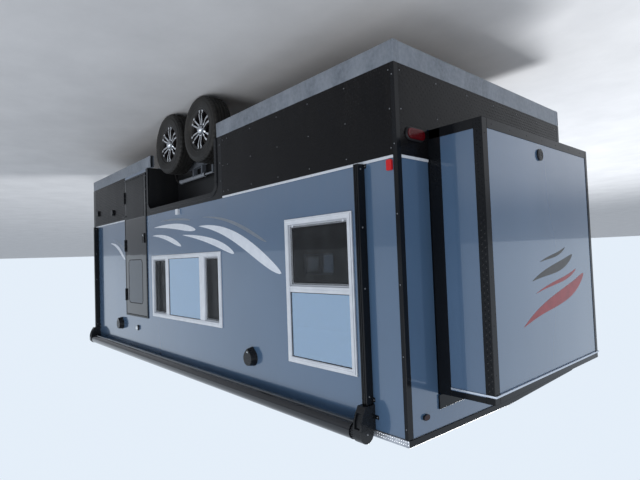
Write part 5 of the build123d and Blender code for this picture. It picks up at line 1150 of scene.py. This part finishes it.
# Lamps and small fittings: moulded black bases with clear lenses for the porch lamps, ribbed
# red lenses in black grommets for the tail lamps, red markers, and capped black inlets.
dress(door_black, "porch_lamps", "slide_port")
socket_box_front = station_zero + 3.30
dress_by_face("wall_fittings", (door_black, white_vinyl_painted_shade), lambda spot, normal: spot.x < socket_box_front)
ease_edges(0.002, "wall_fittings")
clear_lens = uneven(
    "frosted_clear_lens", (0.62, 0.68, 0.74), 0.22, (220.0, 2.0),
    gloss=(0.16, 0.34), bump=(0.0006, 0.5), coat=0.6, coat_roughness=0.08,
)
lens_profile = millimetres((22.5, -10), (22.5, 4), (20.5, 8.5), (15, 12), (8, 13.8), (1, 14.5))
bezel_profile = millimetres((26.5, -12), (26.5, 2), (25, 4.5), (23.2, 4.5), (22.8, 1))
round_lens_profile = millimetres((31, -4), (31, 1), (27, 5.5), (16, 8.2), (1, 9.2))
lens_out, lens_drop, lens_aim = 0.044, 0.052, (0.0, -0.75, -0.66)
round_spot = (station_zero + 4.508, right_face - 0.024, 2.663)
lamp_lenses, lamp_bezels = [turned(round_lens_profile, facing(round_spot, (0, -1, 0)), 32)], []
for x, z in ((station_zero + 1.727, 2.676), (station_zero + 5.130, 2.648)):
    lens_place = facing((x, right_face - lens_out, z - lens_drop), lens_aim)
    lamp_lenses.append(turned(lens_profile, lens_place, 32))
    lamp_bezels.append(turned(bezel_profile, lens_place, 32))
make_piece("porch_lamp_lenses", lamp_lenses, clear_lens, smooth_to=60.0)
make_piece("porch_lamp_bezels", lamp_bezels, door_black, smooth_to=40.0)


def red_plastic(name, dark, light):
    """Moulded red lens plastic with fine prisms in it."""
    lens, tree, shader = finish(name, light, 0.14, 0.0, 0.08, 0.05, 0.22)
    prisms = clouds(tree, 200.0, 1.0)
    tree.links.new(blend_colours(tree, prisms, dark, light), shader.inputs["Base Color"])
    relief(shader, prisms, 0.0008, 0.6)
    return lens


tail_red = red_plastic("dark_red_tail_lens", (0.045, 0.001, 0.003), (0.10, 0.003, 0.006))
marker_red = red_plastic("bright_red_marker_lens", (0.42, 0.008, 0.012), (0.60, 0.016, 0.020))
smoked_red = red_plastic("smoked_red_clearance_lens", (0.012, 0.001, 0.002), (0.032, 0.003, 0.004))
clearance_low, marker_low, marker_high = 2.7, 1.15, 1.4


def lamp_part(spot, normal):
    """Picks the lens or the base that a face of the red lamps belongs to."""
    if spot.z > clearance_low:
        return 2 if normal.x > -0.5 else 3
    return marker_low < spot.z < marker_high


dress_by_face("tail_lamps", (tail_red, marker_red, door_black, smoked_red), lamp_part)


def rounded_slot_ring(spot, along, outward, length, height, profile, steps=14):
    """A ring round a slot with half-round ends; its profile is outset and proud."""
    upward = Vector((0.0, 0.0, 1.0))
    spot, along, outward = Vector(spot), Vector(along), Vector(outward)
    rings = []
    for end in (1.0, -1.0):
        middle = spot + end * (length - height) / 2 * along
        for step in range(steps + 1):
            angle = math.pi * (step / steps - 0.5) + (0.0 if end > 0 else math.pi)
            way = math.cos(angle) * along + math.sin(angle) * upward
            rings.append([
                middle + (height / 2 + outset) * way + proud * outward for outset, proud in profile
            ])
    return skin(rings, closed=True)


tail_size, tail_face, tail_z, tail_inset = (0.180, 0.070), panel_low.x - 0.020, 1.021, 0.190
rib_gap, rib_half, rib_out, rib_sunk = 0.0105, 0.0022, 0.0012, 0.001
last_rib, long_rib, end_rib = 6, 0.026, 0.018
grommet_profile = millimetres((-1, 0), (-1, 12), (3, 14), (8, 12), (10, 8), (10, 0))
grommets, lens_ribs = [], []
for y in (right_face + tail_inset, left_face - tail_inset):
    grommets.append(
        rounded_slot_ring((panel_low.x, y, tail_z), (0, 1, 0), (-1, 0, 0), *tail_size, grommet_profile)
    )
    for number in range(-last_rib, last_rib + 1):
        rib_y = y + number * rib_gap
        half = long_rib if abs(number) < last_rib else end_rib
        rib_low = (tail_face - rib_out, rib_y - rib_half, tail_z - half)
        lens_ribs.append(block(rib_low, (tail_face + rib_sunk, rib_y + rib_half, tail_z + half)))
make_piece("tail_lamp_grommets", grommets, gasket_rubber, smooth_to=50.0)
make_piece("tail_lamp_ribs", lens_ribs, tail_red, eased=0.0005)
port_low, port_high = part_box("slide_port")
port_spot = (port_low.x, (port_low.y + port_high.y) / 2, (port_low.z + port_high.z) / 2)
port_place = facing(port_spot, (-1, 0, 0))
port_rings = []
port_radii = (36, 26, 16)
for radius in port_radii:
    ring_profile = millimetres((radius, -1), (radius, 0.9), (radius - 4, 0.9), (radius - 5, -1))
    port_rings.append(turned(ring_profile, port_place, 36, closed=True))
make_piece("slide_port_rings", port_rings, door_black, body="slide_room", smooth_to=50.0)

# Wheels: radial trailer tyres on cast rims. Each rim has six pairs of arched spokes, machined
# bright on their faces and black between, a domed cap and six nuts, with a drum behind.
tyre_rubber = uneven(
    "tyre_rubber", (0.009, 0.009, 0.009), 0.58, (300.0, 2.0),
    film=(0.95, 0.20, 0.52), bump=(0.0005, 0.5), specular=0.25,
)
machined = uneven(
    "machined_alloy", (0.74, 0.76, 0.79), 0.16, (420.0, 2.0), gloss=(0.10, 0.22), metallic=0.95
)
pocket_black = uneven(
    "gloss_black_pocket", (0.007, 0.007, 0.009), 0.22, film=(0.9, 0.25, 0.2), specular=0.35
)
chrome = uneven(
    "chrome_cap", (0.56, 0.58, 0.61), 0.09, (90.0,), gloss=(0.05, 0.14), span=(0.35, 0.7), metallic=1.0
)
drum_iron = uneven("brake_drum_iron", (0.030, 0.024, 0.020), 0.6, film=(0.9, 0.5, 0.55), metallic=0.4)

tyre_side = millimetres(
    (199, 80), (199.5, 83.8), (215, 83.8), (221, 88), (229, 96.5), (236, 101.5), (238.5, 103.5),
    (242, 103.8), (244.5, 102.8), (260, 107.8), (280, 111.2), (296, 111), (300, 112.2), (306, 112.2),
    (309, 110), (323, 108.4), (340, 106.8)
)
shoulder_lugs = millimetres((347.5, 101), (356, 90.5), (359.5, 85), (359.8, 64))
tread_ribs = millimetres((352, 63), (352, 56), (360, 55), (360, 25), (352, 24), (352, 16), (360, 15))
tyre_half = tyre_side + shoulder_lugs + tread_ribs
tyre_profile = [(radius, -half) for radius, half in tyre_half] + list(reversed(tyre_half))
tyre_steps, lug_every, sipe_depth = 160, 4, 0.0065


def treaded_tyre(place):
    """The tyre's profile turned round the axle, its shoulders cut into lugs."""
    rings = []
    for radius, height in tyre_profile:
        is_lug = (radius, abs(height)) in shoulder_lugs
        ring = []
        for step in range(tyre_steps):
            angle = math.tau * step / tyre_steps
            reach = radius - (sipe_depth if is_lug and step % lug_every == 0 else 0.0)
            ring.append(place @ Vector((reach * math.cos(angle), reach * math.sin(angle), height)))
        rings.append(ring)
    return skin(rings, closed=True)


barrel_profile = millimetres(
    (219, 90.5), (219, 86.5), (201, 80), (196, 72), (196, -83), (214, -86), (214, -89.5), (192, -89.5),
    (189, -80), (189, 56), (196, 74), (211, 88.5)
)
hub_profile = millimetres(
    (30, -35), (60, -30), (66, 20), (80, 46), (80.5, 64), (77, 71.5), (70, 74), (50, 74.5), (48, 72),
    (1, 72)
)
cap_profile = millimetres(
    (44, 70), (45, 76), (44.5, 84), (41.5, 94.5), (35, 103.5), (25, 109), (12, 111.6), (1, 112.2)
)
nut_profile = millimetres((9.5, 70), (9.5, 80), (8.5, 86), (6, 90), (1, 91.5))
drum_profile = millimetres((50, -65), (142, -65), (150, -60), (150, -10), (140, 0), (70, 8), (1, 8))
spoke_stations = millimetres(
    (52, 76, 10, 30), (70, 77, 10.5, 30), (95, 79.5, 10.6, 27), (125, 85, 10.4, 24),
    (152, 89.5, 10.4, 23), (170, 88.5, 11.2, 22), (182, 83.5, 13, 20), (196, 83.5, 14.6, 18),
    (209, 88, 15, 10)
)
spoke_pairs, spoke_turn, pair_half_in, pair_half_out = 6, math.radians(23.0), 0.0125, 0.0350
nut_count, nut_turn, nut_circle = 6, math.radians(53.0), 0.0640
face_depth, face_reach, face_lean = 0.0752, 0.206, 0.80
spoke_shoulder, spoke_edge, spoke_draft = 0.004, 0.002, 0.001


def arched_spoke(place, pair_angle, side):
    """One spoke of a pair: it rises from the hub to a knee and drops to a pad on the barrel."""
    first, last = spoke_stations[0][0], spoke_stations[-1][0]
    turn = place @ Matrix.Rotation(pair_angle, 4, "Z")
    rings = []
    for radius, top, half, depth in spoke_stations:
        share = (radius - first) / (last - first)
        middle = side * (pair_half_in + share * (pair_half_out - pair_half_in))
        section = (
            (-half, top - spoke_shoulder),
            (spoke_edge - half, top),
            (half - spoke_edge, top),
            (half, top - spoke_shoulder),
            (half - spoke_draft, top - depth),
            (spoke_draft - half, top - depth),
        )
        rings.append([turn @ Vector((radius, middle + across, height)) for across, height in section])
    return skin(rings)


for corner in ("right_rear", "right_front", "left_rear", "left_front"):
    tyre_low, tyre_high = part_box("tyre_" + corner)
    hub = (tyre_low + tyre_high) / 2
    out = -1.0 if hub.y < 0 else 1.0
    across_hut = Matrix(((1.0, 0.0, 0.0), (0.0, 0.0, out), (0.0, -out, 0.0)))
    wheel_place = Matrix.Translation(hub) @ across_hut.to_4x4()
    body = "wheel_" + corner
    tread = [treaded_tyre(wheel_place)]
    tyre = make_piece("treaded_tyre_" + corner, tread, tyre_rubber, body, smooth_to=32.0)
    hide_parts("tyre_" + corner)
    rim_shapes = [
        turned(barrel_profile, wheel_place, 96, closed=True),
        turned(hub_profile, wheel_place, 64),
    ]
    for pair in range(spoke_pairs):
        pair_angle = spoke_turn + math.tau * pair / spoke_pairs
        rim_shapes += [arched_spoke(wheel_place, pair_angle, side) for side in (-1.0, 1.0)]
    rim = make_piece("spoked_rim_" + corner, rim_shapes, pocket_black, body, smooth_to=24.0)
    rim.data.materials.append(machined)
    for polygon in rim.data.polygons:
        reach = polygon.center - hub
        height, radius = out * reach.y, math.hypot(reach.x, reach.z)
        on_face = out * polygon.normal.y > face_lean and height > face_depth
        polygon.material_index = int(on_face and radius < face_reach)
    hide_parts("rim_" + corner)
    bright_bits = [turned(cap_profile, wheel_place, 48)]
    for nut in range(nut_count):
        angle = math.tau * nut / nut_count + nut_turn
        nut_spot = (nut_circle * math.cos(angle), nut_circle * math.sin(angle), 0.0)
        bright_bits.append(turned(nut_profile, wheel_place @ Matrix.Translation(nut_spot), 6))
    make_piece("cap_and_nuts_" + corner, bright_bits, chrome, body, smooth_to=34.0)
    drum = [turned(drum_profile, wheel_place, 64)]
    make_piece("brake_drum_" + corner, drum, drum_iron, body, smooth_to=34.0)

# Stage: a plain pale floor, a pale surround and three soft studio lamps. The highest stands
# over the far side, so the hut's shadow falls on the floor by the door.
floor_radius, floor_drop = 90.0, 0.001
floor_mesh = bpy.data.meshes.new("stage_floor")
floor_build = bmesh.new()
bmesh.ops.create_circle(floor_build, cap_ends=True, segments=96, radius=floor_radius)
floor_build.to_mesh(floor_mesh)
floor_build.free()
floor = add_to_scene("stage_floor", floor_mesh)
floor.location.z = -floor_drop
pale_floor = uneven(
    "pale_studio_floor", (0.62, 0.63, 0.65), 0.6, (1.4, 5.0, 0.6),
    ((0.58, 0.59, 0.61), (0.66, 0.67, 0.69)), specular=0.2,
)
floor_mesh.materials.append(pale_floor)

world = bpy.data.worlds.new("studio_surround")
bpy.context.scene.world = world
world.use_nodes = True
surround = world.node_tree
room_light = surround.nodes["Background"]
room_light.inputs["Color"].default_value = (0.84, 0.89, 0.96, 1.0)
room_light.inputs["Strength"].default_value = 0.56
backdrop = node(surround, "Background", {"Color": (0.78, 0.86, 0.95), "Strength": 1.0})[0]
ray = node(surround, "LightPath")
shows = sums(surround, "MAXIMUM", ray["Is Camera Ray"], ray["Is Glossy Ray"])
shows = sums(surround, "MAXIMUM", shows, ray["Is Transmission Ray"])
choose = node(surround, "MixShader", enumerate((shows, room_light.outputs[0], backdrop)))[0]
surround.links.new(choose, surround.nodes["World Output"].inputs["Surface"])


def studio_lamp(name, spot, aim, width, power):
    """A square soft lamp at a spot, turned to its aim."""
    data = bpy.data.lights.new(name, "AREA")
    data.shape = "SQUARE"
    data.size = width
    data.energy = power
    lamp = add_to_scene(name, data)
    lamp.location = spot
    lamp.rotation_euler = (Vector(aim) - Vector(spot)).to_track_quat("-Z", "Y").to_euler()


studio_lamp("lamp_over_far_side", (-3.0, 9.0, 11.0), (0.0, 0.0, 1.0), 4.0, 1600.0)
studio_lamp("lamp_by_door_side", (-4.0, -11.0, 7.0), (-0.5, 0.0, 1.2), 7.0, 520.0)
studio_lamp("lamp_behind", (-13.0, -1.0, 6.0), (-3.5, 0.0, 1.4), 6.0, 210.0)

bpy.context.scene.view_settings.view_transform = "Standard"
